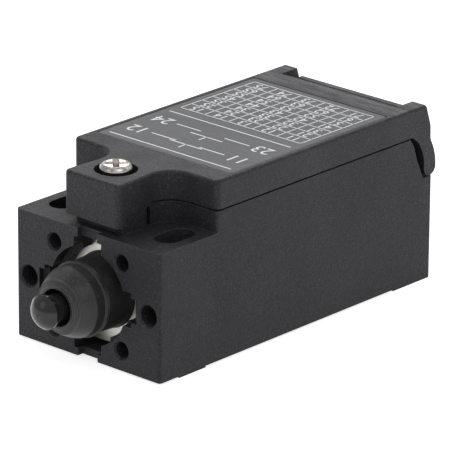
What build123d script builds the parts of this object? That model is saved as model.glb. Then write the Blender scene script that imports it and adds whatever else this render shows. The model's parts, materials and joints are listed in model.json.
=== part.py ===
from build123d import *
import os
from math import asin, cos, sin

# Plunger-operated limit switch with a hinged cover and two slow-action contact pairs.
# Frame: +X out of the nose along the plunger, +Z from the mounting face up to the cover.
# The origin is midway between the two mounting holes, on the mounting face.

# Housing
body_width = 30.0
cover_top = 29.3              # mounting face to the top of the cover
cover_depth = 4.6
cover_gap = 0.3               # parting gap between the cover and the rim
ledge_drop = 3.4              # rim to the top of the nose block
nose_reach = 7.5              # mounting-hole axis to the nose face
rear_reach = 55.7             # mounting-hole axis to the rear face
shoulder_setback = 12.55      # nose face to the shoulder
wall = 2.0
floor_thickness = 2.2
outer_corner_radius = 0.5
well_radius = 4.0             # hollow corner beside each mounting hole
edge_round = 0.3
cut_margin = 1.0              # how far a cut runs past the surface that it opens
neck_side_gap = 0.05          # neck of the box beside the root of the tongue

# Mounting face
hole_pitch = 22.0
hole_radius = 2.15
mouth_length = 7.2            # long recess over each mounting hole
mouth_depth = 4.0
pad_relief = 0.25
front_pad_reach = 3.2         # front pad ahead of the hole axis
front_pad_back = 2.7          # front pad behind the hole axis
rear_pad_length = 9.0
stud_pitch = 20.0
stud_radius = 2.05
stud_depth = 4.8
stud_setback = 5.7            # stud axis ahead of the rear face

# Nose face
mouth_wall = 2.6              # nose top to the mouth, over the plunger axis
mouth_step_depth = 2.0
throat_wall = 3.4             # nose top to the throat
nose_wall = 4.0
head_screw_edge = 3.5         # nose top to the axis of the upper head screws
head_screw_radius = 1.3
head_peg_edge = 2.55          # peg axis to the side of the body
head_peg_radius = 1.65
head_peg_depth = 3.5
face_hole_chamfer = 0.3
key_half_width = 2.85
key_reach = 9.03
groove_half_width = 2.05
groove_depth = 1.07
side_groove_reach = 10.2
plate_edge = 2.1              # nose top to the edge of the plate
plate_thickness = 0.8
plate_clearance = 0.1
plate_bore_wall = 4.4         # nose top to the bore of the plate
plate_thread_radius = 1.05
throat_back_wall = 3.1        # nose top to the bore behind the plate

# Cover
cover_plate_thickness = 1.8
tongue_root_half = 5.0
tongue_tip_half = 5.8
tongue_front_gap = 0.85       # tongue front behind the nose face
tongue_corner_radius = 0.9
tongue_lift = 1.35            # nose top to the underside of the lip
tongue_step_lift = 3.2        # nose top to the underside of the tongue behind its lip
neck_reach = 4.05             # neck of the box ahead of the shoulder
neck_gap = 0.3                # neck to the lower half of the tongue
neck_slot = 1.1               # slot between the neck and the pedestal under the tongue
pedestal_length = 4.8
pedestal_half_width = 5.3
pedestal_gap = 0.2            # pedestal to the tongue and its lip
pedestal_corner_radius = 0.8
rear_slope_run = 1.5
rear_edge_inset = 0.3         # cover rear edge inside the rear face
cover_edge_round = 0.5
cover_shoulder_radius = 1.0
cover_rear_radius = 0.5
label_front_inset = 4.15      # shoulder to the rating plate
label_rim = 1.0
label_depth = 0.3
label_clearance = 0.1
label_thickness = 0.25
strip_length = 4.4
dip_setback = 5.7             # rear face of the box to the front of the groove between the ears
ear_width = 2.9
rear_dip = 2.5
bar_drop = 1.15               # cover top to the bar behind the groove
bar_length = 2.5
bar_end_gap = 0.7             # bar to the ear beside it
bar_edge_round = 0.3

# Cover hinge
pivot_inset = 0.45            # hinge axis inside the rear face
pivot_drop = 5.7              # rim to the hinge axis
lobe_radius = 1.4             # round end of each hook
hook_top_inset = 0.3          # where the back of the hook leaves the cover
hook_top_drop = 0.85          # rim to the same place
hook_back_reach = 0.57        # back of the hook behind the rear face
hook_back_drop = 3.2
hook_inner_setback = 2.35     # middle of the hook's inner side, ahead of the rear face
hook_inner_drop = 2.7
hook_root_gap = 0.4           # hook root to the top of the slot
hook_width = 2.5
hook_side_gap = 0.3
crease_inset = 0.15           # side of the hook inside the side of the cover
crease_setback = 1.7
crease_drop = 1.5
crease_end_setback = 3.6
crease_end_drop = 1.2
slot_drop = 7.2               # rim to the floor of the slot
slot_front = 5.5              # slot ahead of the rear face, at the rim
slot_shoulder = 4.6
slot_shoulder_drop = 1.4
slot_waist = 4.0
slot_waist_drop = 3.4
slot_foot = 2.25              # slot ahead of the rear face, at its floor
lug_radius = 1.15
lug_width = 1.2
hinge_pin_radius = 0.6
running_clearance = 0.05
seat_clearance = 0.02
pin_skin = 0.8                # side of the body to the blind end of the pin's hole

# Cover screw
screw_setback = 6.3           # nose face to the screw axis
screw_radius = 1.5
screw_head_radius = 2.55
screw_head_height = 2.4
screw_head_round = 0.9
screw_proud = 1.0
screw_throat_gap = 0.7        # bore behind the plate to the tip of the screw
screw_well_radius = 3.4
screw_hole_radius = 1.75
cross_width = 1.0
cross_span = 3.8
cross_depth = 1.4
cross_taper = 12
cross_turn = 45
screw_tip_gap = 0.3           # screw tip to the bottom of its hole
screw_tip_chamfer = 0.4
ring_radius = 2.3
ring_thickness = 0.5
ring_lift = 1.3               # nose top to the ring
ring_groove_radius = 1.2
ring_pocket_radius = 2.6
ring_end_gap = 0.1            # ring to the roof of its pocket when the screw is lifted
insert_radius = 2.0
insert_tip_gap = 0.4          # screw tip to the bottom of the insert
insert_rise = 0.9             # nose top to the top of the insert
boss_radius = 3.2

# Gasket
gasket_width = 1.1
gasket_height = 1.2
gasket_gap = 0.1
gasket_rim_cover = 0.7        # how far the gasket lies over the rim

# Conduit entry
conduit_radius = 9.2
conduit_drop = 11.4           # rim to the axis of the conduit entry
conduit_wall = 8.2
conduit_chamfer = 0.6

# Plunger group, measured from the nose face
travel = 4.0
tip_stand = 0.1               # tip left proud of the boot when pushed home
cap_radius = 2.75
cap_rim_reach = 9.4
cap_rim_width = 0.4
stem_radius = 2.3
boot_lip_reach = 6.8
boot_hole_radius = 3.0
boot_lip_radius = 3.4
boot_inner_radius = 4.6
boot_root_gap = 0.1           # boot to the bore of the plate
boot_neck_reach = 1.0
boot_neck_radius = 5.7
boot_ridge_reach = 1.95
boot_ridge_radius = 6.0
boot_groove_radius = 5.72
boot_dome_reach = 3.65
boot_dome_back_radius = 5.65
boot_dome_radius = 5.1        # at the middle of the dome
boot_face_reach = 6.2
boot_face_radius = 4.4
boot_step_radius = 4.15
boot_rim_reach = 6.45
boot_rim_radius = 3.5
boot_edge_gap = 0.2           # flange of the boot to the bore behind the plate
boot_flange_thickness = 0.9
boot_end_gap = 0.1            # bushing to the inside of the boot
flange_clearance = 0.1
bushing_flange_thickness = 1.0
bushing_front_reach = 3.8
retainer_thickness = 1.3
retainer_bore_radius = 3.9
retainer_key_radius = 0.6     # holes for the fitting tool
collar_radius = 3.3
collar_thickness = 1.2
collar_gap = 0.3
tail_radius = 1.9

# Contact block
block_gap = 1.25              # front of the cavity to the block
block_length = 33.2
block_side_gap = 0.35
block_floor_height = 3.6
block_floor = 1.6
block_wall = 1.5
block_wall_rise = 3.6         # plunger axis to the top of the walls
tail_hole_radius = 2.15
rod_radius = 1.4
lid_overlap = 0.7             # inner edge of the terminals to the side of the lid
lid_thickness = 1.5
block_screw_radius = 1.0
block_screw_head = 1.9
block_screw_head_height = 1.4
block_boss_radius = 2.2
block_screw_edge = 3.05       # side of the block to its screws
block_screw_setback = 16.7    # block front to its screws
block_screw_grip = 4.0
barrier_thickness = 0.8
barrier_setback = 12.1        # block front to the barrier between the terminals
barrier_length = 4.45

# Contacts
carrier_half_width = 2.6
carrier_half_height = 2.8
carrier_window_half = 1.5
carrier_front_gap = 1.7       # block front wall to the carrier
bridge_thickness = 0.7
bridge_overlap = 2.7          # inner edge of the terminals to the end of each bridge
bridge_half_height = 1.2
pad_radius = 1.3
pad_thickness = 0.4
pad_inset = 1.1               # inner edge of the terminals to the contact tips
closed_gap = 0.05
open_gap = 2.05
nc_web_setback = 8.3          # block front to the closing face of the NC terminals
no_web_inset = 9.45           # block rear to the closing face of the NO terminals
nc_front_slack = 0.95
window_rib = 1.2
rib_setback = 15.0            # block front to the rib between the windows
window_end_gap = 0.2          # NO bridge to the end of its window
carrier_tail_wall = 2.1
rod_length = 10.5
post_hole_floor = 1.0         # plastic left under the hole of each block screw

# Terminals
terminal_thickness = 0.8
terminal_width = 7.3
terminal_edge = 0.45          # side of the block to the terminals
terminal_notch = 1.7          # inner edge of the screw plate, outside that of the strip
terminal_rise = 1.7           # plunger axis to the underside of the screw plates
terminal_plate_length = 6.1
terminal_web_drop = 2.5
terminal_screw_radius = 1.5
terminal_head_radius = 2.7
terminal_head_height = 1.9
terminal_screw_edge = 2.7     # outer edge of the terminal to its screw
terminal_screw_offset = 3.9   # closing face to the terminal screw
terminal_screw_length = 6.5
washer_size = 5.6
washer_thickness = 0.6
slot_width = 0.8
slot_depth = 0.8
slot_cross = 6.6              # short arm of the recess in the terminal screws

# Springs
plunger_spring_radius = 2.7
plunger_spring_wire = 0.45
plunger_spring_turns = 5
return_spring_radius = 2.1
return_spring_wire = 0.4
return_spring_turns = 7
contact_spring_radius = 1.0
contact_spring_wire = 0.3
contact_spring_turns = 4
spring_seat_gap = 0.05

# Places worked out from the sizes above
half_width = body_width / 2
cover_bottom = cover_top - cover_depth
rim_height = cover_bottom - cover_gap
nose_height = rim_height - ledge_drop
plunger_height = nose_height / 2
mouth_radius = plunger_height - mouth_wall
throat_radius = plunger_height - throat_wall
head_screw_pitch = 2 * (plunger_height - head_screw_edge)
plate_size = 2 * (plunger_height - plate_edge)
plate_bore_radius = plunger_height - plate_bore_wall
throat_back_radius = plunger_height - throat_back_wall
boot_flange_radius = throat_back_radius - boot_edge_gap
boot_root_radius = plate_bore_radius - boot_root_gap
head_peg_pitch = body_width - 2 * head_peg_edge
nose_x = nose_reach
rear_x = -rear_reach
shoulder_x = nose_x - shoulder_setback
neck_front_x = shoulder_x + neck_reach
cavity_front_x = shoulder_x - wall
cavity_rear_x = rear_x + conduit_wall
cavity_half = half_width - wall
plate_front_x = nose_x - nose_wall
plate_back_x = plate_front_x - plate_thickness
pivot_x = rear_x + pivot_inset
pivot_height = rim_height - pivot_drop
cover_rear_x = rear_x + rear_edge_inset
screw_x = nose_x - screw_setback
label_front_x = shoulder_x - label_front_inset
dip_x = rear_x + dip_setback
label_rear_x = dip_x + strip_length
label_length = label_front_x - label_rear_x
tongue_back_x = neck_front_x + neck_gap
tongue_front_x = nose_x - tongue_front_gap
pedestal_back_x = neck_front_x + neck_slot
pedestal_front_x = pedestal_back_x + pedestal_length
tongue_lip_x = pedestal_front_x + pedestal_gap
gasket_rise = cover_gap - gasket_gap
gasket_half = cavity_half + gasket_rim_cover
gasket_front_x = cavity_front_x + gasket_rim_cover
gasket_rear_x = cavity_rear_x - gasket_rim_cover
tongue_underside = nose_height + tongue_lift
tongue_step_height = nose_height + tongue_step_lift
screw_tip_height = plunger_height + throat_back_radius + screw_throat_gap
insert_bottom = screw_tip_height + insert_tip_gap
insert_top = nose_height + insert_rise
screw_lift = insert_top - screw_tip_height
ring_bottom = nose_height + ring_lift
ring_pocket_top = ring_bottom + ring_thickness + screw_lift + ring_end_gap
hook_inner_y = half_width - hook_width
slot_inner_y = hook_inner_y - hook_side_gap
slot_top_x = rear_x + slot_front
slot_floor = rim_height - slot_drop
conduit_height = rim_height - conduit_drop
lug_inner_y = slot_inner_y - lug_width
pin_outer_y = half_width - pin_skin
screw_head_seat = cover_top + screw_proud - screw_head_height
tip_x = nose_x + boot_lip_reach + travel + tip_stand
bushing_front_x = nose_x + bushing_front_reach
cap_rim_x = nose_x + cap_rim_reach
lip_x = nose_x + boot_lip_reach
boot_flange_back_x = plate_back_x - flange_clearance - boot_flange_thickness
bushing_flange_back_x = boot_flange_back_x - bushing_flange_thickness
retainer_back_x = bushing_flange_back_x - retainer_thickness
collar_front_x = bushing_flange_back_x - collar_gap
collar_back_x = collar_front_x - collar_thickness
block_front_x = cavity_front_x - block_gap
block_rear_x = block_front_x - block_length
block_half = cavity_half - block_side_gap
block_floor_top = block_floor_height + block_floor
block_wall_top = plunger_height + block_wall_rise
block_screw_spread = block_half - block_screw_edge
terminal_outer = block_half - terminal_edge
terminal_inner = terminal_outer - terminal_width
terminal_screw_spread = terminal_outer - terminal_screw_edge
pad_spread = terminal_inner + pad_inset
bridge_half_span = terminal_inner + bridge_overlap
lid_half_width = terminal_inner + lid_overlap
terminal_plate_height = plunger_height + terminal_rise
terminal_web_bottom = plunger_height - terminal_web_drop
barrier_inner = block_half - barrier_length
front_wall_back_x = block_front_x - block_wall
rear_wall_front_x = block_rear_x + block_wall
carrier_front_x = front_wall_back_x - carrier_front_gap
nc_web_x = block_front_x - nc_web_setback
no_web_x = block_rear_x + no_web_inset
nc_bridge_front_x = nc_web_x - 2 * pad_thickness - closed_gap
nc_bridge_back_x = nc_bridge_front_x - bridge_thickness
no_bridge_back_x = no_web_x + 2 * pad_thickness + open_gap
no_bridge_front_x = no_bridge_back_x + bridge_thickness
rib_front_x = block_front_x - rib_setback
rib_back_x = rib_front_x - window_rib
nc_window_front_x = nc_bridge_front_x + nc_front_slack
no_window_back_x = no_bridge_back_x - window_end_gap
carrier_rear_x = no_window_back_x - carrier_tail_wall
block_screw_x = block_front_x - block_screw_setback

os.makedirs("parts", exist_ok=True)


def near(value, target):
    """True where two places are the same within a hundredth of a millimetre."""
    return abs(value - target) < 0.01


def shell_outline(front, tip_half, rear, tip_radius, shoulder_radius, rear_radius):
    """Plan outline of the shell: a wide body with a narrow tongue towards the nose."""
    with BuildSketch() as outline:
        with BuildLine():
            Polyline(
                (rear, -half_width),
                (shoulder_x, -half_width),
                (shoulder_x, -tongue_root_half),
                (front, -tip_half),
                (front, tip_half),
                (shoulder_x, tongue_root_half),
                (shoulder_x, half_width),
                (rear, half_width),
                close=True,
            )
        make_face()
        inner = outline.vertices().filter_by(lambda v: near(v.X, shoulder_x) and abs(v.Y) < half_width - wall)
        fillet(inner, well_radius)
        sides = outline.vertices().filter_by(lambda v: near(abs(v.Y), half_width))
        fillet(sides.filter_by(lambda v: near(v.X, shoulder_x)), shoulder_radius)
        rear_corners = outline.vertices().filter_by(lambda v: near(v.X, rear))
        fillet(rear_corners, rear_radius)
        if tip_radius > 0:
            tips = outline.vertices().filter_by(lambda v: near(v.X, front))
            fillet(tips, tip_radius)
    return outline.sketch


def tongue_half_width(x):
    """Half width of the cover's tongue at x: it widens evenly from its root to its tip."""
    share = (x - shoulder_x) / (tongue_front_x - shoulder_x)
    return tongue_root_half + share * (tongue_tip_half - tongue_root_half)


def on_outer_edge(edge):
    """True for a top edge of the cover on its outside, away from the recesses and the screw well."""
    middle = edge @ 0.5
    beside_tongue = middle.X > shoulder_x - edge_round and abs(middle.Y) > screw_well_radius + edge_round
    in_front = middle.X > tongue_front_x - tongue_corner_radius
    along_side = abs(middle.Y) > half_width - label_rim / 2
    return beside_tongue or in_front or along_side


def coil(x_start, length, radius, wire, turns):
    """Coil spring along X, centred on the plunger axis, with its ends set in by half a wire."""
    inset = wire / 2 + spring_seat_gap
    span = length - 2 * inset
    with BuildPart() as spring:
        with BuildLine():
            helix = Helix(
                pitch=span / turns,
                height=span,
                radius=radius,
                center=(x_start + inset, 0, plunger_height),
                direction=(1, 0, 0),
            )
        with BuildSketch(Plane(origin=helix @ 0, z_dir=helix % 0)):
            Circle(wire / 2)
        sweep(path=helix, is_frenet=True)
    return spring.part


# Switch box
with BuildPart() as switch_box:
    with BuildSketch():
        with Locations(((nose_x + rear_x) / 2, 0)):
            RectangleRounded(nose_x - rear_x, body_width, outer_corner_radius)
    extrude(amount=nose_height)
    with BuildSketch(Plane.XY.offset(nose_height)):
        add(shell_outline(neck_front_x, tongue_root_half + neck_side_gap, rear_x,
                          0, outer_corner_radius, outer_corner_radius))
    extrude(amount=rim_height - nose_height)
    # relief between the pads of the mounting face
    with BuildSketch():
        with Locations((nose_x, 0)):
            Rectangle(nose_reach - front_pad_reach, body_width + cut_margin, align=(Align.MAX, Align.CENTER))
        with Locations((-front_pad_back, 0)):
            middle_length = rear_reach - rear_pad_length - front_pad_back
            Rectangle(middle_length, body_width + cut_margin, align=(Align.MAX, Align.CENTER))
    extrude(amount=pad_relief, mode=Mode.SUBTRACT)
    # cavity for the contact block and the wires
    with BuildSketch(Plane.XY.offset(floor_thickness)):
        with Locations(((cavity_front_x + cavity_rear_x) / 2, 0)):
            Rectangle(cavity_front_x - cavity_rear_x, 2 * cavity_half)
    extrude(amount=rim_height, mode=Mode.SUBTRACT)
    # posts under the contact block
    with BuildSketch(Plane.XY.offset(floor_thickness)):
        with Locations((block_screw_x, block_screw_spread), (block_screw_x, -block_screw_spread)):
            Circle(block_boss_radius)
    extrude(amount=block_floor_height - floor_thickness)
    with Locations((block_screw_x, block_screw_spread, block_floor_height),
                   (block_screw_x, -block_screw_spread, block_floor_height)):
        Hole(block_screw_radius, depth=block_floor_height - post_hole_floor)
    # mounting holes with their long mouths
    with BuildSketch(Plane.XY.offset(nose_height)):
        with Locations((0, hole_pitch / 2), (0, -hole_pitch / 2)):
            SlotOverall(mouth_length, 2 * hole_radius)
    extrude(amount=-mouth_depth, mode=Mode.SUBTRACT)
    with BuildSketch():
        with Locations((0, hole_pitch / 2), (0, -hole_pitch / 2)):
            Circle(hole_radius)
    extrude(amount=nose_height, mode=Mode.SUBTRACT)
    # locating holes for studs in the mounting face
    with BuildSketch():
        with Locations((rear_x + stud_setback, 0)):
            with GridLocations(0, stud_pitch, 1, 2):
                Circle(stud_radius)
    extrude(amount=stud_depth, mode=Mode.SUBTRACT)
    # round throat of the nose
    nose_plane = Plane(origin=(nose_x, 0, plunger_height), x_dir=(0, 1, 0), z_dir=(1, 0, 0))
    with BuildSketch(nose_plane):
        Circle(mouth_radius)
    extrude(amount=-mouth_step_depth, mode=Mode.SUBTRACT)
    with BuildSketch(nose_plane):
        Circle(throat_radius)
    extrude(amount=-nose_wall, mode=Mode.SUBTRACT)
    with BuildSketch(nose_plane.offset(plate_back_x - nose_x)):
        Circle(throat_back_radius)
    extrude(amount=cavity_front_x - plate_back_x, mode=Mode.SUBTRACT)
    # pocket of the nose plate, and the four keyways of the throat
    with BuildSketch(nose_plane.offset(-nose_wall)):
        Rectangle(plate_size + 2 * plate_clearance, plate_size + 2 * plate_clearance)
    extrude(amount=-plate_thickness, mode=Mode.SUBTRACT)
    with BuildSketch(nose_plane):
        Rectangle(2 * key_reach, 2 * key_half_width)
        Rectangle(2 * key_half_width, 2 * key_reach)
    extrude(amount=plate_back_x - nose_x, mode=Mode.SUBTRACT)
    with BuildSketch(nose_plane):
        Rectangle(2 * side_groove_reach, 2 * groove_half_width)
        Rectangle(2 * groove_half_width, 4 * nose_height)
    extrude(amount=-groove_depth, mode=Mode.SUBTRACT)
    # holes for the screws and the pegs of an operating head
    with BuildSketch(nose_plane):
        with GridLocations(head_screw_pitch, head_screw_pitch, 2, 2):
            Circle(head_screw_radius)
    extrude(amount=-nose_wall, mode=Mode.SUBTRACT)
    with BuildSketch(nose_plane):
        with GridLocations(head_peg_pitch, 0, 2, 1):
            Circle(head_peg_radius)
    extrude(amount=-head_peg_depth, mode=Mode.SUBTRACT)
    face_hole_edges = (
        switch_box.edges()
        .filter_by(GeomType.CIRCLE)
        .filter_by(lambda e: near(e.center().X, nose_x))
        .filter_by(lambda e: e.radius < head_peg_radius + edge_round)
    )
    chamfer(face_hole_edges, face_hole_chamfer)
    # pedestal under the tongue of the cover
    with BuildSketch(Plane.XY.offset(nose_height)) as pedestal_plan:
        with Locations((pedestal_back_x, 0)):
            Rectangle(pedestal_length, 2 * pedestal_half_width, align=(Align.MIN, Align.CENTER))
        pedestal_corners = pedestal_plan.vertices().filter_by(lambda v: near(v.X, pedestal_front_x))
        fillet(pedestal_corners, pedestal_corner_radius)
    extrude(amount=tongue_step_height - pedestal_gap - nose_height)
    # post and hole for the cover screw's insert
    with BuildSketch(Plane.XY.offset(nose_height)):
        with Locations((screw_x, 0)):
            Circle(boss_radius)
    extrude(amount=insert_top - nose_height)
    with BuildSketch(Plane.XY.offset(insert_bottom)):
        with Locations((screw_x, 0)):
            Circle(insert_radius)
    extrude(amount=cover_bottom - insert_bottom, mode=Mode.SUBTRACT)
    with BuildSketch(Plane.XY.offset(screw_tip_height - screw_tip_gap)):
        with Locations((screw_x, 0)):
            Circle(screw_hole_radius)
    extrude(amount=nose_height - screw_tip_height, mode=Mode.SUBTRACT)
    with BuildSketch(Plane.XY.offset(insert_top)):
        with Locations((screw_x, 0)):
            Circle(ring_pocket_radius)
    extrude(amount=cover_bottom - insert_top, mode=Mode.SUBTRACT)
    # conduit entry
    rear_plane = Plane(origin=(rear_x, 0, conduit_height), x_dir=(0, 1, 0), z_dir=(1, 0, 0))
    with BuildSketch(rear_plane):
        Circle(conduit_radius)
    extrude(amount=conduit_wall, mode=Mode.SUBTRACT)
    conduit_edge = (
        switch_box.edges()
        .filter_by(GeomType.CIRCLE)
        .filter_by(lambda e: near(e.center().X, rear_x) and near(e.radius, conduit_radius))
    )
    chamfer(conduit_edge, conduit_chamfer)
    # slots and lugs of the cover hinge
    for side in (1, -1):
        with BuildSketch(Plane.XZ.offset(-side * half_width)):
            with BuildLine():
                Polyline(
                    (slot_top_x, rim_height + cut_margin),
                    (slot_top_x, rim_height),
                    (rear_x + slot_shoulder, rim_height - slot_shoulder_drop),
                    (rear_x + slot_waist, rim_height - slot_waist_drop),
                    (rear_x + slot_foot, slot_floor),
                    (rear_x - cut_margin, slot_floor),
                    (rear_x - cut_margin, rim_height + cut_margin),
                    close=True,
                )
            make_face()
        extrude(amount=side * (half_width - slot_inner_y), mode=Mode.SUBTRACT)
        with BuildSketch(Plane.XZ.offset(-side * slot_inner_y)):
            with Locations((pivot_x, pivot_height)):
                Circle(lug_radius)
                Rectangle(2 * lug_radius, 2 * lug_radius, align=(Align.MIN, Align.CENTER))
        extrude(amount=side * lug_width)
        with BuildSketch(Plane.XZ.offset(-side * slot_inner_y)):
            with Locations((pivot_x, pivot_height)):
                Circle(hinge_pin_radius + running_clearance)
        extrude(amount=side * lug_width, mode=Mode.SUBTRACT)
switch_box.part.label = "switch_box"
export_step(switch_box.part, "parts/switch_box.step")

# Cover
with BuildPart() as cover:
    with BuildSketch(Plane.XY.offset(cover_bottom)):
        add(shell_outline(tongue_front_x, tongue_tip_half, cover_rear_x,
                          tongue_corner_radius, cover_shoulder_radius, cover_rear_radius))
    extrude(amount=cover_top - cover_bottom)
    # sloping rear face
    with BuildSketch(Plane.XZ):
        with BuildLine():
            Polyline(
                (cover_rear_x, cover_bottom),
                (cover_rear_x + rear_slope_run, cover_top),
                (cover_rear_x - cut_margin, cover_top),
                (cover_rear_x - cut_margin, cover_bottom),
                close=True,
            )
        make_face()
    extrude(amount=body_width, both=True, mode=Mode.SUBTRACT)
    # lower half of the tongue: over the pedestal of the box, with a lip that hangs in front of it
    for level, height, back_x in (
        (tongue_step_height, cover_bottom - tongue_step_height, tongue_back_x),
        (tongue_underside, tongue_step_height - tongue_underside, tongue_lip_x),
    ):
        with BuildSketch(Plane.XY.offset(level)) as tongue_foot:
            with BuildLine():
                Polyline(
                    (back_x, -tongue_half_width(back_x)),
                    (tongue_front_x, -tongue_tip_half),
                    (tongue_front_x, tongue_tip_half),
                    (back_x, tongue_half_width(back_x)),
                    close=True,
                )
            make_face()
            tips = tongue_foot.vertices().filter_by(lambda v: near(v.X, tongue_front_x))
            fillet(tips, tongue_corner_radius)
        extrude(amount=height)
    # hollow over the contact block, and the rebate that holds the gasket
    with BuildSketch(Plane.XY.offset(cover_bottom)):
        with Locations(((cavity_front_x + cavity_rear_x) / 2, 0)):
            Rectangle(cavity_front_x - cavity_rear_x, 2 * cavity_half)
    extrude(amount=cover_top - cover_plate_thickness - cover_bottom, mode=Mode.SUBTRACT)
    with BuildSketch(Plane.XY.offset(cover_bottom)):
        with Locations(((gasket_front_x + gasket_rear_x) / 2, 0)):
            Rectangle(gasket_front_x - gasket_rear_x, 2 * gasket_half)
    extrude(amount=gasket_height - gasket_rise, mode=Mode.SUBTRACT)
    # recess of the rating plate
    with BuildSketch(Plane.XY.offset(cover_top)):
        with Locations(((label_front_x + label_rear_x) / 2, 0)):
            Rectangle(label_length, body_width - 2 * label_rim)
    extrude(amount=-label_depth, mode=Mode.SUBTRACT)
    # dip between the rear ears, with a bar left standing at its rear
    with BuildSketch(Plane.XY.offset(cover_top)):
        with Locations((dip_x, 0)):
            dip_length = dip_x - cover_rear_x + cut_margin
            Rectangle(dip_length, body_width - 2 * ear_width, align=(Align.MAX, Align.CENTER))
    extrude(amount=-bar_drop, mode=Mode.SUBTRACT)
    with BuildSketch(Plane.XY.offset(cover_top)):
        with Locations((dip_x, 0)):
            Rectangle(dip_length, body_width - 2 * ear_width, align=(Align.MAX, Align.CENTER))
        with Locations((cover_rear_x + bar_length, 0)):
            bar_width = body_width - 2 * ear_width - 2 * bar_end_gap
            bar_cover = bar_length + cut_margin
            Rectangle(bar_cover, bar_width, align=(Align.MAX, Align.CENTER), mode=Mode.SUBTRACT)
    extrude(amount=-rear_dip, mode=Mode.SUBTRACT)
    bar_top = cover.faces().filter_by(Axis.Z).filter_by(lambda f: near(f.center().Z, cover_top - bar_drop))
    fillet(bar_top.edges(), bar_edge_round)
    # well, hole and ring pocket of the cover screw
    with BuildSketch(Plane.XY.offset(screw_head_seat)):
        with Locations((screw_x, 0)):
            Circle(screw_well_radius)
    extrude(amount=cover_top - screw_head_seat, mode=Mode.SUBTRACT)
    with BuildSketch(Plane.XY.offset(tongue_step_height)):
        with Locations((screw_x, 0)):
            Circle(screw_hole_radius)
    extrude(amount=cover_top - tongue_step_height, mode=Mode.SUBTRACT)
    with BuildSketch(Plane.XY.offset(tongue_step_height)):
        with Locations((screw_x, 0)):
            Circle(ring_pocket_radius)
    extrude(amount=ring_pocket_top - tongue_step_height, mode=Mode.SUBTRACT)
    # hinge hooks
    for side in (1, -1):
        with BuildSketch(Plane.XZ.offset(-side * half_width)):
            with BuildLine():
                hook_upper = (cover_rear_x + hook_top_inset, rim_height - hook_top_drop)
                hook_back = (rear_x - hook_back_reach, rim_height - hook_back_drop)
                lobe_back = (pivot_x - lobe_radius, pivot_height)
                lobe_front = (pivot_x + lobe_radius, pivot_height)
                hook_middle = (rear_x + hook_inner_setback, rim_height - hook_inner_drop)
                hook_root = (slot_top_x - hook_root_gap, cover_bottom)
                ThreePointArc(hook_upper, hook_back, lobe_back)
                ThreePointArc(lobe_back, (pivot_x, pivot_height - lobe_radius), lobe_front)
                ThreePointArc(lobe_front, hook_middle, hook_root)
                Polyline(hook_root, (cover_rear_x + hook_top_inset, cover_bottom), hook_upper)
            make_face()
        extrude(amount=side * hook_width)
        with BuildSketch(Plane.XZ.offset(-side * half_width)):
            with BuildLine():
                crease_front = (rear_x + crease_end_setback, rim_height - crease_end_drop)
                crease_middle = (rear_x + crease_setback, rim_height - crease_drop)
                crease_back = (rear_x - cut_margin, rim_height)
                ThreePointArc(crease_front, crease_middle, crease_back)
                Polyline(
                    crease_back,
                    (rear_x - cut_margin, slot_floor),
                    (rear_x + crease_end_setback, slot_floor),
                    crease_front,
                )
            make_face()
        extrude(amount=side * crease_inset, mode=Mode.SUBTRACT)
        with BuildSketch(Plane.XZ.offset(-side * pin_outer_y)):
            with Locations((pivot_x, pivot_height)):
                Circle(hinge_pin_radius)
        extrude(amount=side * hook_width, mode=Mode.SUBTRACT)
    # soft edges round the top
    top_edges = (
        cover.faces()
        .filter_by(Axis.Z)
        .filter_by(lambda f: near(f.center().Z, cover_top))
        .edges()
        .filter_by(lambda e: e.length > cover_edge_round)
    )
    outer_top_edges = top_edges.filter_by(on_outer_edge)
    fillet(outer_top_edges, cover_edge_round)
cover.part.label = "cover"
export_step(cover.part, "parts/cover.step")

# Cover gasket
with BuildPart() as cover_gasket:
    with BuildSketch(Plane.XY.offset(cover_bottom - gasket_rise)):
        with Locations(((gasket_front_x + gasket_rear_x) / 2, 0)):
            outer_length = gasket_front_x - gasket_rear_x - 2 * seat_clearance
            outer_width = 2 * (gasket_half - seat_clearance)
            Rectangle(outer_length, outer_width)
            Rectangle(outer_length - 2 * gasket_width, outer_width - 2 * gasket_width, mode=Mode.SUBTRACT)
    extrude(amount=gasket_height)
cover_gasket.part.label = "cover_gasket"
export_step(cover_gasket.part, "parts/cover_gasket.step")

# Rating plate
with BuildPart() as rating_plate:
    with BuildSketch(Plane.XY.offset(cover_top - label_depth)):
        with Locations(((label_front_x + label_rear_x) / 2, 0)):
            RectangleRounded(
                label_length - 2 * label_clearance,
                body_width - 2 * label_rim - 2 * label_clearance,
                label_rim / 2,
            )
    extrude(amount=label_thickness)
rating_plate.part.label = "rating_plate"
export_step(rating_plate.part, "parts/rating_plate.step")

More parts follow.
